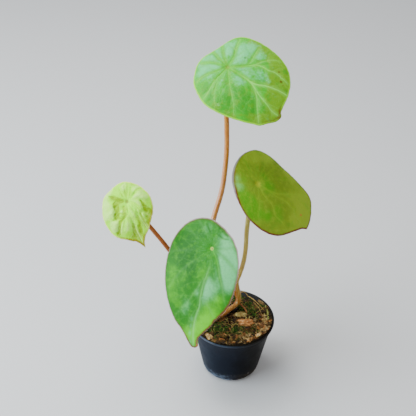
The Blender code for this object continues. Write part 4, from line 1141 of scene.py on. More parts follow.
# Direction that the side with the painted highlight faces and how squarely, and where the highlight begins
# and ends along a stalk
SHEEN_SIDE = (-0.7, -0.62, 0.36)
SHEEN_FACING = 0.78
SHEEN_START = 0.12
SHEEN_END = 0.62
# Rhizome: points, the radius at each, and the height of its ring scars
RHIZOME_ROUTE = ((-3.5, 12.5, 52), (-8, 7.5, 56), (-13, 1.5, 58), (-18.5, -4.5, 59), (-22.5, -9, 60.6),
                 (-24.4, -11.4, 62.8))
RHIZOME_RADII = (2.6, 4.2, 4.7, 4.3, 2.6, 0.7)
RHIZOME_SIDES = 10
SCAR_HEIGHT = 0.28
SCAR_DEPTH = 0.14
RHIZOME_COLOURS = ((0.07, 0.035, 0.015), (0.24, 0.13, 0.05), (0.38, 0.28, 0.14))


def mark_sheen(obj, shine):
    """Painted highlight on the side of a stalk that faces the window lamp, strongest in its lower half."""
    count = len(obj.data.vertices)
    normals = np.empty(count * 3, np.float32)
    obj.data.vertices.foreach_get("normal", normals)
    along = np.empty(count, np.float32)
    obj.data.attributes["along"].data.foreach_get("value", along)
    side = np.clip((normals.reshape(-1, 3) @ np.array(SHEEN_SIDE) - SHEEN_FACING) / 0.18, 0, 1)
    length = np.clip((along - SHEEN_START) / 0.1, 0, 1) * np.clip((SHEEN_END - along) / 0.22, 0, 1)
    mark(obj, "sheen", shine * side * length)


def make_stalk(stalk):
    """Fleshy stalk, swollen a little at its foot and spread where the veins gather under the blade."""
    leaf = LEAVES[stalk["leaf"]]
    normal = Vector(blade_frame(leaf)[:, 2])
    end = Vector(leaf["hub"]) - normal * (NAVEL_DEPTH + LAMINA * 0.6)
    points = [Vector(point) for point in stalk["route"]]
    points += [end - normal * below for below in (stalk["run_in"], 3.2, 1.2, 0)]
    foot, head = stalk["radius"]
    radii = [foot + (head - foot) * (index / (len(points) - 1)) for index in range(len(points))]
    radii[0] *= 1.12
    radii[-2] *= 1.12
    radii[-1] *= 1.5
    made = rod(points, radii, STALK_SIDES, STALK_TURNS)
    mark_along(made, 2 * (STALK_SIDES + 2))
    roughen(made, 0.22 * MM, 6 * MM)
    made.data.shade_smooth()
    mark_sheen(made, stalk["shine"])
    return made


def make_rhizome():
    """Knobbly creeping stem with ring scars and a pointed growing tip."""
    path = catmull_rom(RHIZOME_ROUTE, 0.8)
    places = np.linspace(0, len(RHIZOME_ROUTE) - 1, len(path))
    radii = np.interp(places, range(len(RHIZOME_ROUTE)), RHIZOME_RADII)
    ring = np.arange(len(path)) % 4
    radii = radii + np.where(ring == 0, SCAR_HEIGHT, 0) - np.where(ring == 1, SCAR_DEPTH, 0)
    made = rod([tuple(point) for point in path], list(radii), RHIZOME_SIDES, 3)
    mark_along(made, 2 * (RHIZOME_SIDES + 2))
    roughen(made, 0.9 * MM, 4 * MM)
    made.data.shade_smooth()
    return made


# Pot

RIM_RADIUS = 37.5
POT_WALL = 1.0
FLOOR_DISC = 7.0
# Corner of the foot: middle of its arc, radius outside and how far it turns
FOOT_MIDDLE = 20.0
FOOT_ROUND = 6.0
FOOT_TURN = 77
# Section of the cup as radius and height: ring under the floor, then wall, collar, lip, inside
FLOOR_RING = ((13.0, 0.0), (13.6, 0.45), (15.0, 0.45), (15.6, 0.0))
WALL_AND_LIP = ((28.6, 19.0), (31.9, 36.0), (34.95, 50.9), (35.3, 51.7), (36.05, 52.3), (36.2, 52.9),
                (36.75, 54.8), (36.95, 55.2), (37.42, 55.7), (37.5, 56.1), (37.45, 56.6), (37.1, 56.95),
                (36.6, 57.0), (36.25, 56.8), (36.1, 56.2), (35.75, 54.6), (35.25, 52.7), (34.4, 51.7),
                (34.0, 51.0), (30.9, 36.0), (27.6, 19.0))
NOTCH_COUNT = 8
NOTCH_REACH = 25
NOTCH_SIZE = (6, 4.6, 5.8)
NOTCH_ROUND = 0.7


def pot_section():
    """Radius and height of each ring, up the outside from the foot, over the lip and down inside."""
    arc = [radians(FOOT_TURN) * step / 6 for step in range(7)]
    outer, inner = ([(FOOT_MIDDLE + bend * sin(turn), FOOT_ROUND - bend * cos(turn))
                     for turn in arc] for bend in (FOOT_ROUND, FOOT_ROUND - POT_WALL))
    return [*FLOOR_RING, *outer, *WALL_AND_LIP, *inner[::-1], (FLOOR_DISC, POT_WALL)]


def make_notches():
    """Rounded blocks round the foot, joined to one cutter."""
    blocks = []
    for index in range(NOTCH_COUNT):
        turn = 2 * pi * (index + 0.5) / NOTCH_COUNT
        place = (NOTCH_REACH * MM * cos(turn), NOTCH_REACH * MM * sin(turn), 0)
        start()
        bpy.ops.mesh.primitive_cube_add(size=1, location=place, rotation=(0, 0, turn))
        block = bpy.context.object
        block.scale = [length * MM for length in NOTCH_SIZE]
        rounding = block.modifiers.new("rounding", "BEVEL")
        rounding.width = NOTCH_ROUND * MM
        rounding.segments = 3
        settle(block)
        blocks.append(block)
    return join("notches", blocks)


def make_pot():
    """Cup drawn up ring by ring from its foot, over the lip and down inside, with notches cut out."""
    start()
    radius, height = FLOOR_DISC, 0.0
    bpy.ops.mesh.primitive_circle_add(vertices=120, radius=radius * MM, fill_type="NOTHING",
                                      location=(0, 0, 0))
    pot = bpy.context.object
    bpy.ops.object.mode_set(mode="EDIT")
    bpy.ops.mesh.select_all(action="SELECT")
    for next_radius, next_height in pot_section():
        bpy.ops.mesh.extrude_region_move(
            TRANSFORM_OT_translate={"value": (0, 0, (next_height - height) * MM)})
        bpy.ops.transform.resize(value=(next_radius / radius, next_radius / radius, 1),
                                 center_override=(0, 0, next_height * MM))
        radius, height = next_radius, next_height
    bpy.ops.object.mode_set(mode="OBJECT")
    bm = bmesh.new()
    bm.from_mesh(pot.data)
    bmesh.ops.holes_fill(bm, edges=[edge for edge in bm.edges if edge.is_boundary], sides=0)
    bmesh.ops.recalc_face_normals(bm, faces=bm.faces)
    bm.to_mesh(pot.data)
    bm.free()

    cutter = make_notches()
    cut = pot.modifiers.new("notches", "BOOLEAN")
    cut.operation = "DIFFERENCE"
    cut.object = cutter
    settle(pot)
    bpy.data.objects.remove(cutter)
    mark(pot, "inside", [vert.normal.xy.dot(vert.co.xy.normalized()) < -0.3 for vert in pot.data.vertices])
    only(pot)
    bpy.ops.object.shade_smooth_by_angle(angle=radians(32))
    return pot


# Filling

SOIL_LEVEL = 53.0
# Furthest reach of the loose bits
WALL_REACH = 35.6
# Depth of the mound's surface under the loose bits
CRUMB_DEPTH = 0.9
# Inside of the pot under its lip, as heights and radii, then the body of the mound down to its floor
INSIDE_HEIGHTS = (51.0, 51.7, 52.7, 54.6)
INSIDE_RADII = (33.9, 34.3, 35.1, 35.5)
MOUND_BODY = ((33.6, 50), (30.3, 36), (27.2, 19))
MOUND_FLOOR = 19.0
# Hollows between the lumps of the filling: x, y, radius and depth
PITS = ((-1.5, -5.0, 4.0, 2.0), (-3.0, -14.0, 4.0, 1.6), (17.0, 2.5, 3.0, 1.6), (22.5, 9.5, 3.0, 1.5),
        (-1.0, -27.0, 3.5, 1.6), (15.5, -18.0, 3.0, 1.4), (9.0, 21.0, 3.0, 1.2), (-14.0, -22.0, 3.0, 1.2),
        (-20.0, 14.0, 4.0, 1.6), (-8.0, 26.0, 4.0, 1.6), (1.5, 29.0, 4.0, 1.8))
# Where the rhizome and the lying ends of the stalks keep the filling bare, and how far round them
LYING_LINES = (((-13, 1.5), (-22, -9)), ((-8, 7.5), (-13, 1.5)), ((-11, 0), (4, 13)), ((-6, 8), (4.5, 17.5)))
LYING_STALKS = np.vstack([as_segments(line) for line in LYING_LINES])
BARE_REACH = 3.4

# Loose bark by kind: how many pieces, their sizes and lift, and the seeds of their shapes. heaped
# pieces lie against the rim, from the direction and the distance in rim. block squares a shape off,
# thin flattens it, level is its fineness and keep the share of its faces that stays.
CHIPS = {
    "crumbs": {"count": 640, "sizes": (0.8, 2.4), "lift": -0.1, "seeds": range(80, 86), "level": 2,
               "reach": 34.5, "heaped": 170, "keep": 0.5, "rim": (-165, 32)},
    "chips_dark": {"count": 150, "sizes": (2.6, 6.0), "lift": -0.3, "seeds": range(1, 6), "reach": 33.5,
                   "block": 0.8, "keep": 0.5},
    "chips_brown": {"count": 110, "sizes": (1.8, 5.4), "lift": 0.1, "seeds": (6, 7, 8, 9, 26),
                    "reach": 33.0, "heaped": 36, "block": 0.8, "keep": 0.6, "rim": (-160, 32)},
    "chips_tan": {"count": 26, "sizes": (1.2, 3.6), "lift": 0.5, "seeds": (10, 11, 12, 16, 18),
                  "thin": 0.6, "heaped": 60, "block": 0.9},
    "chips_orange": {"count": 24, "sizes": (1.4, 4.0), "lift": 0.4, "seeds": (13, 14, 15, 17, 19),
                     "thin": 0.7, "heaped": 40, "block": 0.9},
}
# Bits of the filling that the eye picks out: x, y, lift, length, turn, lean, roll
NOTABLE = {
    "chips_tan": (
        (27.4, 21.2, 1.6, 5.4, -35, 14, 20), (19.9, -5.0, 1.8, 4.0, 80, -62, 0),
        (24.5, -20.6, 0.6, 3.6, 20, 0, 10), (29.5, -9.0, 0.7, 5.0, 70, 12, 25),
        (30.8, -3.5, 0.9, 4.4, 96, -8, 30), (26.5, -15.5, 0.7, 4.6, 40, 10, 0),
        (14.5, -23.3, 1.1, 3.4, 24, -8, 0), (13.0, -25.6, 0.8, 2.8, -30, 6, 0),
        (-20.5, -25.0, 0.9, 7.5, 118, 4, 12), (-22.8, -22.6, 0.8, 5.6, 128, -6, 0),
        (3.0, 4.6, 1.6, 4.2, 32, -18, 0), (1.6, 3.2, 1.5, 3.4, 75, 12, 0),
        (7.3, -18.9, 1.0, 3.2, 10, 10, 10), (21.5, -24.2, 0.5, 3.8, 30, 5, 0),
        (31.6, -11.5, 0.4, 3.6, 110, 20, 0), (22.6, -24.9, 1.5, 5.0, 44, -8, 10),
        (32.4, -12.5, 1.2, 4.4, 66, 10, 8), (29.8, -15.8, 1.3, 5.4, 66, 6, 20),
        (12.6, -30.6, 1.0, 4.6, 20, 8, 0), (2.5, -33.0, 0.8, 3.8, 5, 10, 0),
        (-6.0, -33.4, 1.2, 3.6, -10, 8, 6), (6.0, -33.6, 1.3, 3.4, 10, -6, 8),
        (-16.5, -30.0, 1.1, 3.6, -30, 6, 0),
    ),
    "chips_orange": (
        (-16.2, -29.0, 0.9, 6.2, 140, 8, 10), (-9.4, -29.6, 0.8, 4.4, -12, 10, 0),
        (4.1, -25.4, 1.0, 5.2, 84, 6, 20), (17.6, -4.8, 1.3, 4.6, 60, 22, 30),
        (23.0, -12.5, 0.8, 5.0, -25, 8, 10), (28.6, -17.0, 0.7, 4.6, 50, -10, 20),
        (32.0, -6.0, 0.6, 4.6, 85, 10, 30), (-8.8, -1.6, 0.4, 5.0, 40, -8, 0),
        (19.6, -27.2, 0.4, 4.2, 20, 8, 0), (25.8, -1.5, 0.7, 3.8, 15, 10, 10),
        (0.5, -9.5, 0.6, 4.0, 70, 6, 10), (-3.0, -33.0, 0.7, 4.4, -8, 8, 10),
        (8.0, -32.0, 0.7, 4.2, 14, 6, 0), (17.5, -28.6, 1.5, 4.8, 30, 6, 12),
        (27.4, -20.6, 1.4, 5.0, 52, 10, 8), (31.0, -15.0, 1.2, 4.4, 64, 8, 10),
        (20.5, -25.0, 1.6, 3.8, 80, 20, 0), (12.5, -32.2, 1.2, 4.2, 18, -6, 10),
        (0.8, -34.2, 1.5, 3.0, 4, 10, 0), (14.6, -31.2, 1.4, 3.6, 24, 6, 8),
    ),
    "chips_brown": (
        (14.8, -1.2, 0.8, 5.6, 20, 10, 20), (20.8, -9.0, 0.6, 6.0, -40, -12, 0),
        (12.0, -13.0, 0.7, 5.5, 12, 8, 8), (5.0, -6.5, 0.8, 5.2, -30, 12, 0),
        (-3.5, -12.5, 0.6, 5.8, 80, 8, 20), (9.0, 27.0, 0.8, 5.5, 30, 8, 0),
        (17.5, 23.5, 0.6, 5.0, -50, 10, 0), (-12, -24, 0.6, 5.0, 30, 10, 0),
        (-8.5, -32.0, 0.8, 4.8, -16, 6, 0), (5.5, -30.0, 0.9, 4.6, 18, 6, 10),
        (-12.5, -31.8, 1.2, 4.6, -22, 6, 8), (-1.0, -34.0, 1.2, 4.4, -2, 8, 0),
        (10.0, -32.8, 1.3, 4.2, 16, 6, 6),
    ),
}
# Straws and fibres by kind: how many, radius, greatest length, lift and seeds of their shapes
STRANDS = {
    "straws": {"count": 34, "radius": 0.36, "longest": 7.0, "lift": 0.6, "seeds": range(21, 26)},
    "fibres_tan": {"count": 90, "radius": 0.15, "longest": 12.0, "lift": 0.8, "seeds": range(31, 37)},
    "fibres_rust": {"count": 130, "radius": 0.18, "longest": 12.0, "lift": 0.7, "seeds": range(41, 47)},
    "moss_strands": {"count": 60, "radius": 0.28, "longest": 8.0, "lift": 0.8, "seeds": range(51, 56)},
}
STRAND_REACH = 31.0
# Strands that the eye picks out: kind, points, radius and flatness
LOOSE_STRANDS = (
    ("fibres_tan", ((15.0, 30.0, 55.6), (18.0, 25.5, 57.3), (22.5, 19.5, 57.6), (26.0, 14.5, 57.0),
                    (28.6, 11.0, 56.2)), 0.55, 0.7),
    ("fibres_tan", ((5.6, 29.5, 54.6), (7.6, 31.0, 58.6), (10.6, 31.4, 59.6), (13.4, 30.6, 57.6),
                    (15.0, 29.4, 55.0)), 0.45, 0.8),
    ("fibres_tan", ((19.5, 22.5, 55.5), (23.0, 15.0, 57.2), (25.5, 9.0, 56.9), (26.5, 4.5, 56.0)),
     0.42, 0.7),
    ("moss_strands", ((30.0, 17.0, 55.2), (31.2, 11.0, 57.6), (31.8, 3.5, 58.2), (31.9, -3.5, 58.0),
                      (31.2, -9.0, 57.0)), 0.95, 0.4),
    ("straws", ((28.2, 10.0, 55.6), (28.9, 4.0, 57.6), (28.6, -3.0, 57.6), (27.0, -9.0, 56.8)), 0.6, 0.5),
    ("moss_strands", ((31.2, 18.6, 54.8), (30.2, 14.6, 58.4), (30.4, 11.2, 59.6)), 0.7, 0.5),
)
# Moss in tufts: x, y, spread and share of the shoots
MOSS_PATCHES = ((6, 15, 4.0, 3), (11, 12, 4.0, 3), (17, 9, 4.0, 3), (21, 5, 3.0, 2), (-13, -12, 5.0, 5),
                (-9, -17, 5.0, 5), (-8, -9, 3.0, 2), (2, -16, 4.0, 3), (8, -15, 4.0, 3), (12, -19, 3.5, 2),
                (7, -22, 3.0, 2), (13, 19, 5.0, 3), (26, 16, 3.0, 1), (-18, -18, 4.0, 2), (-22, 12, 7.0, 4),
                (-12, 24, 6.0, 4), (3, 27, 5.0, 3), (20, -14, 3.0, 1), (-27, -4, 4.0, 2), (24, 0, 3.0, 1),
                (2, 31, 3.0, 3), (8, 30.5, 3.0, 2), (1, -31, 3.5, 2), (-14, -29, 3.0, 1), (15, 22, 5.0, 3),
                (21, 14, 4.0, 2))
MOSS_COUNT = 900
MOSS_REACH = 33.5
MOSS_SEEDS = range(61, 67)
# Finish of each part of the filling: label, dark, middle and light colour, and pitch of the grain
FILLING_LOOKS = {
    "mound": ("substrate_dark", ((0.002, 0.001, 0.0), (0.014, 0.008, 0.001), (0.038, 0.023, 0.003)), 420),
    "crumbs": ("substrate_crumbs", ((0.003, 0.002, 0.0), (0.026, 0.015, 0.001), (0.08, 0.047, 0.005)), 420),
    "chips_dark": ("bark_dark", ((0.005, 0.002, 0.001), (0.028, 0.012, 0.002), (0.075, 0.038, 0.006)), 380),
    "chips_brown": ("bark_brown", ((0.012, 0.005, 0.0), (0.07, 0.031, 0.003), (0.19, 0.1, 0.012)), 380),
    "chips_tan": ("bark_tan", ((0.12, 0.055, 0.014), (0.43, 0.265, 0.085), (0.68, 0.49, 0.22)), 420),
    "chips_orange": ("bark_orange", ((0.11, 0.032, 0.006), (0.4, 0.15, 0.03), (0.62, 0.36, 0.13)), 420),
    "straws": ("straw", ((0.17, 0.11, 0.02), (0.38, 0.28, 0.07), (0.6, 0.5, 0.2)), 600),
    "fibres_tan": ("fibre_tan", ((0.12, 0.064, 0.014), (0.32, 0.2, 0.05), (0.5, 0.36, 0.13)), 600),
    "fibres_rust": ("fibre_rust", ((0.06, 0.021, 0.004), (0.17, 0.07, 0.012), (0.3, 0.14, 0.035)), 600),
    "moss_strands": ("moss_strand", ((0.07, 0.08, 0.01), (0.2, 0.2, 0.03), (0.36, 0.36, 0.1)), 600),
    "moss": ("moss", ((0.008, 0.028, 0.001), (0.034, 0.11, 0.004), (0.15, 0.34, 0.03)), 500),
}
# Bark that has a node of its own: centre, size, turn, lean, seed, block, breaks, then label, colours, slot
NAMED_BARK = {
    "bark_pale": (((8.0, 4.2, 56.4), (10.6, 5.4, 2.2), 6, 4, 71, 0.15, 0.22), "flake_pale",
                  ((0.18, 0.1, 0.02), (0.4, 0.3, 0.085), (0.62, 0.53, 0.21)), "bark_pale"),
    "bark_rust": (((11.8, -6.4, 56.3), (10.6, 8.0, 5.0), -14, -6, 74, 0.55, 0.75), "lump_rust",
                  ((0.16, 0.05, 0.01), (0.54, 0.21, 0.05), (0.74, 0.42, 0.18)), "bark_rust"),
    "bark_straw": (((-19.5, -24.5, 55.0), (10.5, 3.6, 1.8), 118, 6, 77, 0.3, 0.3), "flake_straw",
                   ((0.16, 0.08, 0.02), (0.44, 0.29, 0.08), (0.66, 0.52, 0.24)), "bark_pale"),
}
TWIG_ROUTE = ((6.6, 18.4, 56.0), (7.6, 16.2, 57.8), (10.2, 12.4, 58.2), (12.4, 8.8, 57.4), (13.4, 6.6, 56.4))
TWIG_RADII = (0.8, 0.75, 0.7, 0.6, 0.4)
TWIG_COLOURS = ((0.12, 0.035, 0.01), (0.36, 0.13, 0.035), (0.52, 0.26, 0.09))
NAMED_PITCH = 420


def soil_height(x, y):
    """Height of the filling's top: an uneven mound, lower at the back and heaped against the right rim."""
    reach = hypot(x, y) / RIM_RADIUS
    lumps = noise.noise(Vector((x * 0.16, y * 0.16, 11)))
    crumbs = noise.noise(Vector((x * 0.45, y * 0.45, 16.5)))
    near_rim = max(0.0, min(1.0, (reach - 0.45) / 0.35))
    heap = max(0.0, cos(atan2(y, x) + radians(28))) * near_rim
    front = max(0.0, -y / RIM_RADIUS - 0.55) / 0.4
    pits = sum(depth * exp(-((x - px) ** 2 + (y - py) ** 2) / size ** 2) for px, py, size, depth in PITS)
    return (SOIL_LEVEL + 0.6 + 1.4 * (1 - reach ** 2) - 1.5 * y / RIM_RADIUS + 0.8 * (1.3 * lumps + crumbs)
            + 2.6 * heap ** 0.7 + 1.3 * front - pits)


def on_soil(x, y, lift):
    return (x, y, soil_height(x, y) + lift)


def make_mound():
    """Body of the filling: a tapering block with a finely broken top."""
    columns, rings = 144, 50
    turns = np.arange(columns) * 2 * pi / columns
    verts = [on_soil(0.0, 0.0, -CRUMB_DEPTH)]
    brinks = [soil_height(34 * cos(turn), 34 * sin(turn)) - 1.3 for turn in turns]
    walls = np.interp(brinks, INSIDE_HEIGHTS, INSIDE_RADII)
    for ring in range(1, rings + 1):
        for turn, wall in zip(turns, walls):
            radius = wall * ring / rings
            x, y = radius * cos(turn), radius * sin(turn)
            rough = (noise.noise(Vector((x * 0.9, y * 0.9, 4)))
                     + 0.7 * noise.noise(Vector((x * 2.1, y * 2.1, 9))))
            verts.append(on_soil(x, y, 0.8 * rough - CRUMB_DEPTH))
    for radius, height in MOUND_BODY:
        verts += [(radius * cos(turn), radius * sin(turn), height) for turn in turns]
    verts.append((0.0, 0.0, MOUND_FLOOR))
    faces = []
    for index in range(columns):
        after = (index + 1) % columns
        faces.append((0, 1 + index, 1 + after))
        for ring in range(rings + 2):
            base = 1 + ring * columns
            faces.append((base + index, base + columns + index, base + columns + after, base + after))
        base = 1 + (rings + 2) * columns
        faces.append((base + after, base + index, len(verts) - 1))
    mound = mesh_object("mound", [Vector(vert) * MM for vert in verts], faces)
    mound.data.shade_smooth()
    return mound


def chip_shape(size, seed, level, block, broken, grain=0.16, keep=1.0):
    """Torn lump of bark: a ball, squared off, broken along cell walls and roughened along its grain."""
    start()
    bpy.ops.mesh.primitive_ico_sphere_add(subdivisions=level, radius=1, location=(0, 0, 0))
    chip = bpy.context.object
    chip.data.transform(Matrix.Rotation(seed * 1.7, 4, (1, 2, 3)))
    squared = chip.modifiers.new("squared", "CAST")
    squared.cast_type = "CUBOID"
    squared.factor = block
    settle(chip)
    shift = Vector((seed * 3.1, seed * 1.3, seed * 2.2))
    chip.data.transform(Matrix.Translation(shift) @ Matrix.Diagonal((0.38, 1, 1, 1)))
    roughen(chip, broken, 0.55, "VORONOI")
    roughen(chip, grain, 0.22)
    if keep < 1:
        fewer = chip.modifiers.new("fewer", "DECIMATE")
        fewer.ratio = keep
        settle(chip)
    chip.data.transform(Matrix.Diagonal((2.6, 1, 1, 1)) @ Matrix.Translation(-shift))
    chip.data.transform(Matrix.Diagonal([length * MM / 2 for length in size] + [1]))
    bpy.ops.object.shade_smooth_by_angle(angle=radians(28))
    return chip


def strand_shape(points, radius, sides=1, flat=1.0):
    """Thin curved straw or fibre with fined ends, pressed flat where wanted."""
    count = len(points)
    radii = [radius * (0.4 + 0.6 * sin(pi * (index + 0.6) / (count + 0.2)))
             for index in range(count)]
    strand = rod(points, radii, sides, 3)
    ring = 2 * (sides + 2)
    for start_index in range(0, len(strand.data.vertices) - ring + 1, ring):
        group = [strand.data.vertices[start_index + step] for step in range(ring)]
        middle = sum(vert.co.z for vert in group) / ring
        for vert in group:
            vert.co.z = middle + (vert.co.z - middle) * flat
    return strand


def add_spike(verts, faces, root, tip, width):
    """Pointed leaflet or stem: two ends with three points between them."""
    along = (tip - root).normalized()
    across = along.orthogonal().normalized()
    other = along.cross(across)
    base = len(verts)
    middle = root.lerp(tip, 0.4) + Vector((0, 0, 0.12 * (tip - root).length))
    verts.extend((root, tip))
    verts.extend(middle + width * (cos(turn) * across + 0.5 * sin(turn) * other)
                 for turn in (0, 2.1, 4.2))
    for index in range(3):
        after = (index + 1) % 3
        faces.append((base, base + 2 + after, base + 2 + index))
        faces.append((base + 2 + index, base + 2 + after, base + 1))


def moss_shape(seed):
    """Moss shoot: a bent stem with pointed leaflets set close round it."""
    draw = random.Random(seed)
    height = draw.uniform(3.0, 5.0)
    lean = draw.uniform(0.6, 2.2)
    verts, faces = [], []
    add_spike(verts, faces, Vector((0, 0, 0)), Vector((lean, 0, height)), 0.22)
    for index in range(8):
        t = 0.1 + 0.88 * index / 7
        root = Vector((lean * t * t, 0, height * t))
        turn = index * 2.4 + draw.uniform(-0.3, 0.3)
        reach = draw.uniform(1.2, 2.0) * (1.1 - 0.5 * t)
        tip = root + Vector((cos(turn) * reach, sin(turn) * reach, 0.6 * reach))
        add_spike(verts, faces, root, tip, 0.34)
    return mesh_object("moss_sprig", [vert * MM for vert in verts], faces)


def give_tone(obj, tone):
    """Lightness of one loose bit, from 0 to 1."""
    mark(obj, "tone", np.full(len(obj.data.vertices), tone))


def pull_inside(copy):
    """Move a loose bit towards the middle where it would reach through the wall of the pot."""
    spots = np.empty(len(copy.data.vertices) * 3, np.float32)
    copy.data.vertices.foreach_get("co", spots)
    across, along = spots[0::3], spots[1::3]
    far = np.hypot(across, along).argmax()
    excess = np.hypot(across[far], along[far]) - WALL_REACH * MM
    if excess > 0:
        out = Vector((float(across[far]), float(along[far]), 0)).normalized()
        copy.data.transform(Matrix.Translation(-out * float(excess)))


def scatter(name, shapes, places):
    """Copies of a few shapes, each with its own mesh, set in place and joined to one piece.

    A place is (shape number, position in mm, turn, lean, roll, size).
    """
    copies = []
    tones = random.Random(len(places))
    for kind, position, turn, lean, roll, size in places:
        copy = linked(name, shapes[kind % len(shapes)].data.copy())
        copy.data.transform(
            Matrix.Translation(Vector(position) * MM) @ Matrix.Rotation(radians(turn), 4, "Z")
            @ Matrix.Rotation(radians(lean), 4, "Y") @ Matrix.Rotation(radians(roll), 4, "X")
            @ Matrix.Scale(size, 4))
        pull_inside(copy)
        give_tone(copy, tones.triangular(0.0, 1.0, 0.5))
        copies.append(copy)
    for source in shapes:
        bpy.data.objects.remove(source)
    return join(name, copies)


def clear_of_stalks(x, y):
    """True where no stalk or rhizome lies on the filling."""
    return clearance(np.array((x, y)), LYING_STALKS) >= BARE_REACH


def random_spot(draw, reach):
    """A place on the filling that is clear of the plant."""
    while True:
        r = reach * sqrt(draw.random())
        turn = draw.uniform(0, 2 * pi)
        x, y = r * cos(turn), r * sin(turn)
        if clear_of_stalks(x, y):
            return x, y


def rim_spot(draw, first, nearest):
    """Place in the heap of bits against the right and the front of the rim."""
    while True:
        turn, away = radians(draw.uniform(first, 24)), draw.uniform(nearest, 35.5)
        x, y = away * cos(turn), away * sin(turn)
        if clear_of_stalks(x, y):
            return x, y


def tumbled(draw, lean, roll):
    """Turn, lean and roll of a loose bit."""
    return draw.uniform(0, 360), draw.uniform(-lean, lean), draw.uniform(-roll, roll)


def make_chips(name, draw, count, sizes, lift, seeds, thin=1.0, reach=32.0, level=3, heaped=0, block=0.5,
               keep=1.0, rim=(-92, 25)):
    """Bark of one kind: scattered, heaped against the rim, and the bits that the eye picks out."""
    shapes = []
    for seed in seeds:
        size = (1, draw.uniform(0.3, 0.7), thin * draw.uniform(0.22, 0.5))
        shapes.append(chip_shape(size, seed, level, block, 0.2 + 0.5 * block, keep=keep))
    places = []
    for index in range(count):
        x, y = random_spot(draw, reach)
        places.append((index, on_soil(x, y, lift), *tumbled(draw, 32, 40), draw.uniform(*sizes)))
    for index in range(heaped):
        x, y = rim_spot(draw, *rim)
        places.append((index, on_soil(x, y, draw.uniform(0.0, 1.2)), *tumbled(draw, 35, 50),
                       draw.choice((0.7, 1.0, 1.7)) * draw.uniform(*sizes)))
    for index, (x, y, rise, length, turn, lean, roll) in enumerate(NOTABLE.get(name, ())):
        places.append((index, on_soil(x, y, rise), turn, lean, roll, length))
    return scatter(name, shapes, places)


def make_strands(name, draw, count, radius, longest, lift, seeds):
    """Straws or fibres of one kind, bowed and arched, with the loose ones that the eye picks out."""
    shapes = []
    for seed in seeds:
        curl = random.Random(seed)
        length = curl.uniform(0.5, 1.0) * longest
        bow = curl.uniform(-0.35, 0.35) * length
        arch = curl.uniform(0.05, 0.22) * length
        points = [(length * (t - 0.5), bow * sin(pi * t) + curl.uniform(-0.06, 0.06) * longest,
                   arch * sin(pi * t) + curl.uniform(-0.02, 0.02) * longest)
                  for t in (0, 0.2, 0.4, 0.6, 0.8, 1)]
        shapes.append(strand_shape(points, radius))
    places = []
    for index in range(count):
        x, y = random_spot(draw, STRAND_REACH - 0.3 * longest)
        places.append((index, on_soil(x, y, lift), *tumbled(draw, 12, 25), draw.uniform(0.6, 1.2)))
    loose = [strand_shape(points, width, 2, flat) for kind, points, width, flat in LOOSE_STRANDS
             if kind == name]
    for strand in loose:
        give_tone(strand, 0.6)
    return join(name, [scatter(name, shapes, places)] + loose)


def make_moss(draw):
    """Shoots of moss in tufts between the chips."""
    chosen = [patch for patch in MOSS_PATCHES for _ in range(patch[3])]
    sprigs = []
    for index in range(MOSS_COUNT):
        x, y, spread, _ = chosen[index % len(chosen)]
        for _ in range(12):
            px, py = draw.gauss(x, spread * 0.45), draw.gauss(y, spread * 0.45)
            if hypot(px, py) < MOSS_REACH and clear_of_stalks(px, py):
                break
        sprigs.append((index, on_soil(px, py, -1.0), draw.uniform(0, 360), draw.uniform(0, 60),
                       draw.uniform(-25, 25), draw.uniform(0.55, 1.05)))
    return scatter("moss", [moss_shape(seed) for seed in MOSS_SEEDS], sprigs)


def make_filling():
    """Mound, crumbs, bark chips, straws, fibres and moss, by name."""
    made = {"mound": make_mound()}
    draw = random.Random(SEED)
    for name, kind in CHIPS.items():
        made[name] = make_chips(name, draw, **kind)
    for name, kind in STRANDS.items():
        made[name] = make_strands(name, draw, **kind)
    made["moss"] = make_moss(draw)
    return made


def make_named_bark(centre, size, turn, lean, seed, block, broken):
    """One flake or lump that stands out."""
    chip = chip_shape(size, seed, 5, block, broken, 0.12)
    chip.data.transform(Matrix.Translation(Vector(centre) * MM) @ Matrix.Rotation(radians(turn), 4, "Z")
                        @ Matrix.Rotation(radians(lean), 4, "Y"))
    return chip


def make_twig():
    twig = rod(TWIG_ROUTE, TWIG_RADII, 3, 5)
    roughen(twig, 0.3 * MM, 1.5 * MM)
    return twig


# Hairs

STALK_HAIRS = 330
MARGIN_HAIRS = 420


def make_hairs(name, roots, ways, lengths, radius):
    """Fine tapering hairs, each bent a little, standing on the given roots in metres."""
    verts, faces = [], []
    for root, way, length in zip(roots, ways, lengths):
        across = way.orthogonal().normalized()
        other = way.cross(across)
        middle = root + way * length * 0.55
        tip = root + way * length + across * length * 0.22
        base = len(verts)
        for centre, size in ((root - way * radius, radius), (middle, 0.6 * radius)):
            for turn in (0, 2.094, 4.189):
                verts.append(centre + size * (cos(turn) * across + sin(turn) * other))
        verts.append(tip)
        faces.append((base + 2, base + 1, base))
        for index in range(3):
            after = (index + 1) % 3
            faces.append((base + index, base + after, base + 3 + after, base + 3 + index))
            faces.append((base + 3 + index, base + 3 + after, base + 6))
    return mesh_object(name, verts, faces)


def hairs_on_stalks(stalks, draw):
    """Hairs that stand out all round the stalks."""
    roots, ways, lengths = [], [], []
    for obj in stalks:
        verts = obj.data.vertices
        for _ in range(STALK_HAIRS):
            vert = verts[draw.randrange(len(verts) - 40)]
            lean = Vector((draw.uniform(-0.4, 0.4), draw.uniform(-0.4, 0.4), draw.uniform(-0.3, 0.5)))
            roots.append(vert.co.copy())
            ways.append((vert.normal + lean).normalized())
            lengths.append(draw.uniform(0.5, 1.1) * MM)
    return make_hairs("stalk_hairs", roots, ways, lengths, 0.035 * MM)


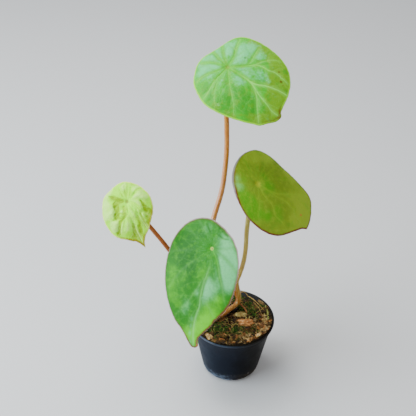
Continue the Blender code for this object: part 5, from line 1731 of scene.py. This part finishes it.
def hairs_on_margin(name, blade, leaf, draw):
    """Short hairs that stand out from a blade's margin."""
    columns = leaf["grid"][0]
    half = len(blade.data.vertices) // 2
    ring = [blade.data.vertices[half - columns + index].co.copy() for index in range(columns)]
    normal = Vector(blade_frame(leaf)[:, 2])
    roots, ways, lengths = [], [], []
    for _ in range(MARGIN_HAIRS):
        index = draw.randrange(columns)
        along = (ring[(index + 1) % columns] - ring[index]).normalized()
        out = normal.cross(along)
        way = (-out + along * draw.uniform(-0.5, 0.5) + normal * draw.uniform(-0.5, 0.3)).normalized()
        if way.dot(ring[index] - Vector(leaf["hub"]) * MM) < 0:
            way = (out + along * draw.uniform(-0.5, 0.5) + normal * draw.uniform(-0.5, 0.3)).normalized()
        roots.append(ring[index].lerp(ring[(index + 1) % columns], draw.random()) - normal * 0.1 * MM)
        ways.append(way)
        lengths.append(draw.uniform(0.35, 0.8) * MM)
    return make_hairs(name + "_hairs", roots, ways, lengths, 0.04 * MM)


# Stage

IMAGE_WIDTH = 416
SENSOR_WIDTH = 36
FOCAL_PX = 889
CAMERA_PLACE = (-23.741, -582.928, 604.769)
CAMERA_PITCH = 36.25
CAMERA_ROLL = 1.2
# Lamps: name, place in metres, size, power, colour and the place that each looks at
LAMPS = (
    ("overhead", (-0.36, 0.16, 1.15), (0.8, 0.8), 16.0, (0.96, 0.98, 1.0), (-0.03, 0.0, 0.15)),
    ("window", (-1.0, -0.35, 0.55), (1.0, 1.0), 20.0, (0.8, 0.9, 1.0), (-0.02, 0.0, 0.15)),
    ("fill", (0.8, -0.9, 0.7), (0.8, 0.8), 2.4, (1.0, 0.92, 0.84), (0.0, 0.0, 0.12)),
)
ROOM_COLOUR = (0.93, 0.95, 1.0)
ROOM_STRENGTH = 0.5
FLOOR_COLOUR = (0.68, 0.68, 0.67)


def make_floor():
    start()
    bpy.ops.mesh.primitive_plane_add(size=8, location=(0, 0, -0.2 * MM))
    floor = bpy.context.object
    floor.name = "floor"
    made, tree, shader = new_material("floor_pale")
    feed_all(tree, shader, Base_Color=FLOOR_COLOUR, Roughness=0.8, Specular_IOR_Level=0.2)
    floor.data.materials.append(made)


def make_lights():
    """Soft light of the room, and area lamps from above, from the left and from the front right."""
    world = bpy.data.worlds.new("soft_room")
    bpy.context.scene.world = world
    world.use_nodes = True
    feed_all(world.node_tree, world.node_tree.nodes["Background"], Color=ROOM_COLOUR, Strength=ROOM_STRENGTH)
    for name, place, size, power, colour, aim in LAMPS:
        light = bpy.data.lights.new(name, "AREA")
        light.shape = "RECTANGLE"
        light.size, light.size_y = size
        light.energy = power
        light.color = colour
        lamp = linked(name, light)
        lamp.location = place
        lamp.rotation_euler = (Vector(aim) - Vector(place)).to_track_quat("-Z", "Y").to_euler()


def make_camera():
    camera = bpy.data.cameras.new("camera")
    camera.sensor_width = SENSOR_WIDTH
    camera.lens = FOCAL_PX / IMAGE_WIDTH * SENSOR_WIDTH
    view = linked("camera", camera)
    view.matrix_world = (Matrix.Translation(Vector(CAMERA_PLACE) * MM)
                         @ Matrix.Rotation(radians(90 - CAMERA_PITCH), 4, "X")
                         @ Matrix.Rotation(radians(CAMERA_ROLL), 4, "Z"))
    bpy.context.scene.camera = view


# All of it

def dress_plant(draw):
    """Blades and stalks with their hairs, and the rhizome."""
    hair, tree, shader = new_material("hair_pale")
    feed_all(tree, shader, Base_Color=(0.74, 0.66, 0.6), Roughness=0.6)
    for number, (name, leaf) in enumerate(LEAVES.items()):
        label = name.replace("leaf", "blade")
        blade = make_blade(name, leaf, number)
        skins = [leaf_material(name, leaf), underside_material(name, leaf)]
        finish(blade, label, skins, [name])
        finish(hairs_on_margin(label, blade, leaf, draw), label + "_hairs", [hair])
    stalks = []
    for name, stalk in STALKS.items():
        made = make_stalk(stalk)
        finish(made, name.replace("petiole", "stalk"),
               [stalk_material(name + "_skin", stalk["shine"], *stalk["colours"])], [name])
        stalks.append(made)
    finish(hairs_on_stalks(stalks, draw), "stalk_hairs", [hair])
    finish(make_rhizome(), "creeping_stem", [woody_material("rhizome_skin", RHIZOME_COLOURS, 350)],
           ["rhizome"])


def dress_filling():
    """Filling with its loose bits, and the bark that stands out."""
    for name, piece in make_filling().items():
        label, colours, pitch = FILLING_LOOKS[name]
        body = name == "mound"
        finish(piece, "filling_" + name,
               [woody_material(label, colours, pitch, toned=not body)], ["substrate"] if body else [])
    for name, (shape, label, colours, slot) in NAMED_BARK.items():
        finish(make_named_bark(*shape), name + "_rough", [woody_material(label, colours, NAMED_PITCH)],
               [name])
    finish(make_twig(), "twig_rough", [woody_material("twig_brown", TWIG_COLOURS, NAMED_PITCH)],
           ["twig"])


def main():
    GROUPS["leaf_skin"] = leaf_skin_group()
    GROUPS["blemish"] = blemish_group()
    GROUPS["stalk_skin"] = stalk_skin_group()
    GROUPS["wood_grain"] = grain_group()
    dress_plant(random.Random(SEED + 7))
    finish(make_pot(), "pot_shell", [pot_material()], ["pot"])
    dress_filling()
    make_floor()
    make_lights()
    make_camera()
    start()


main()
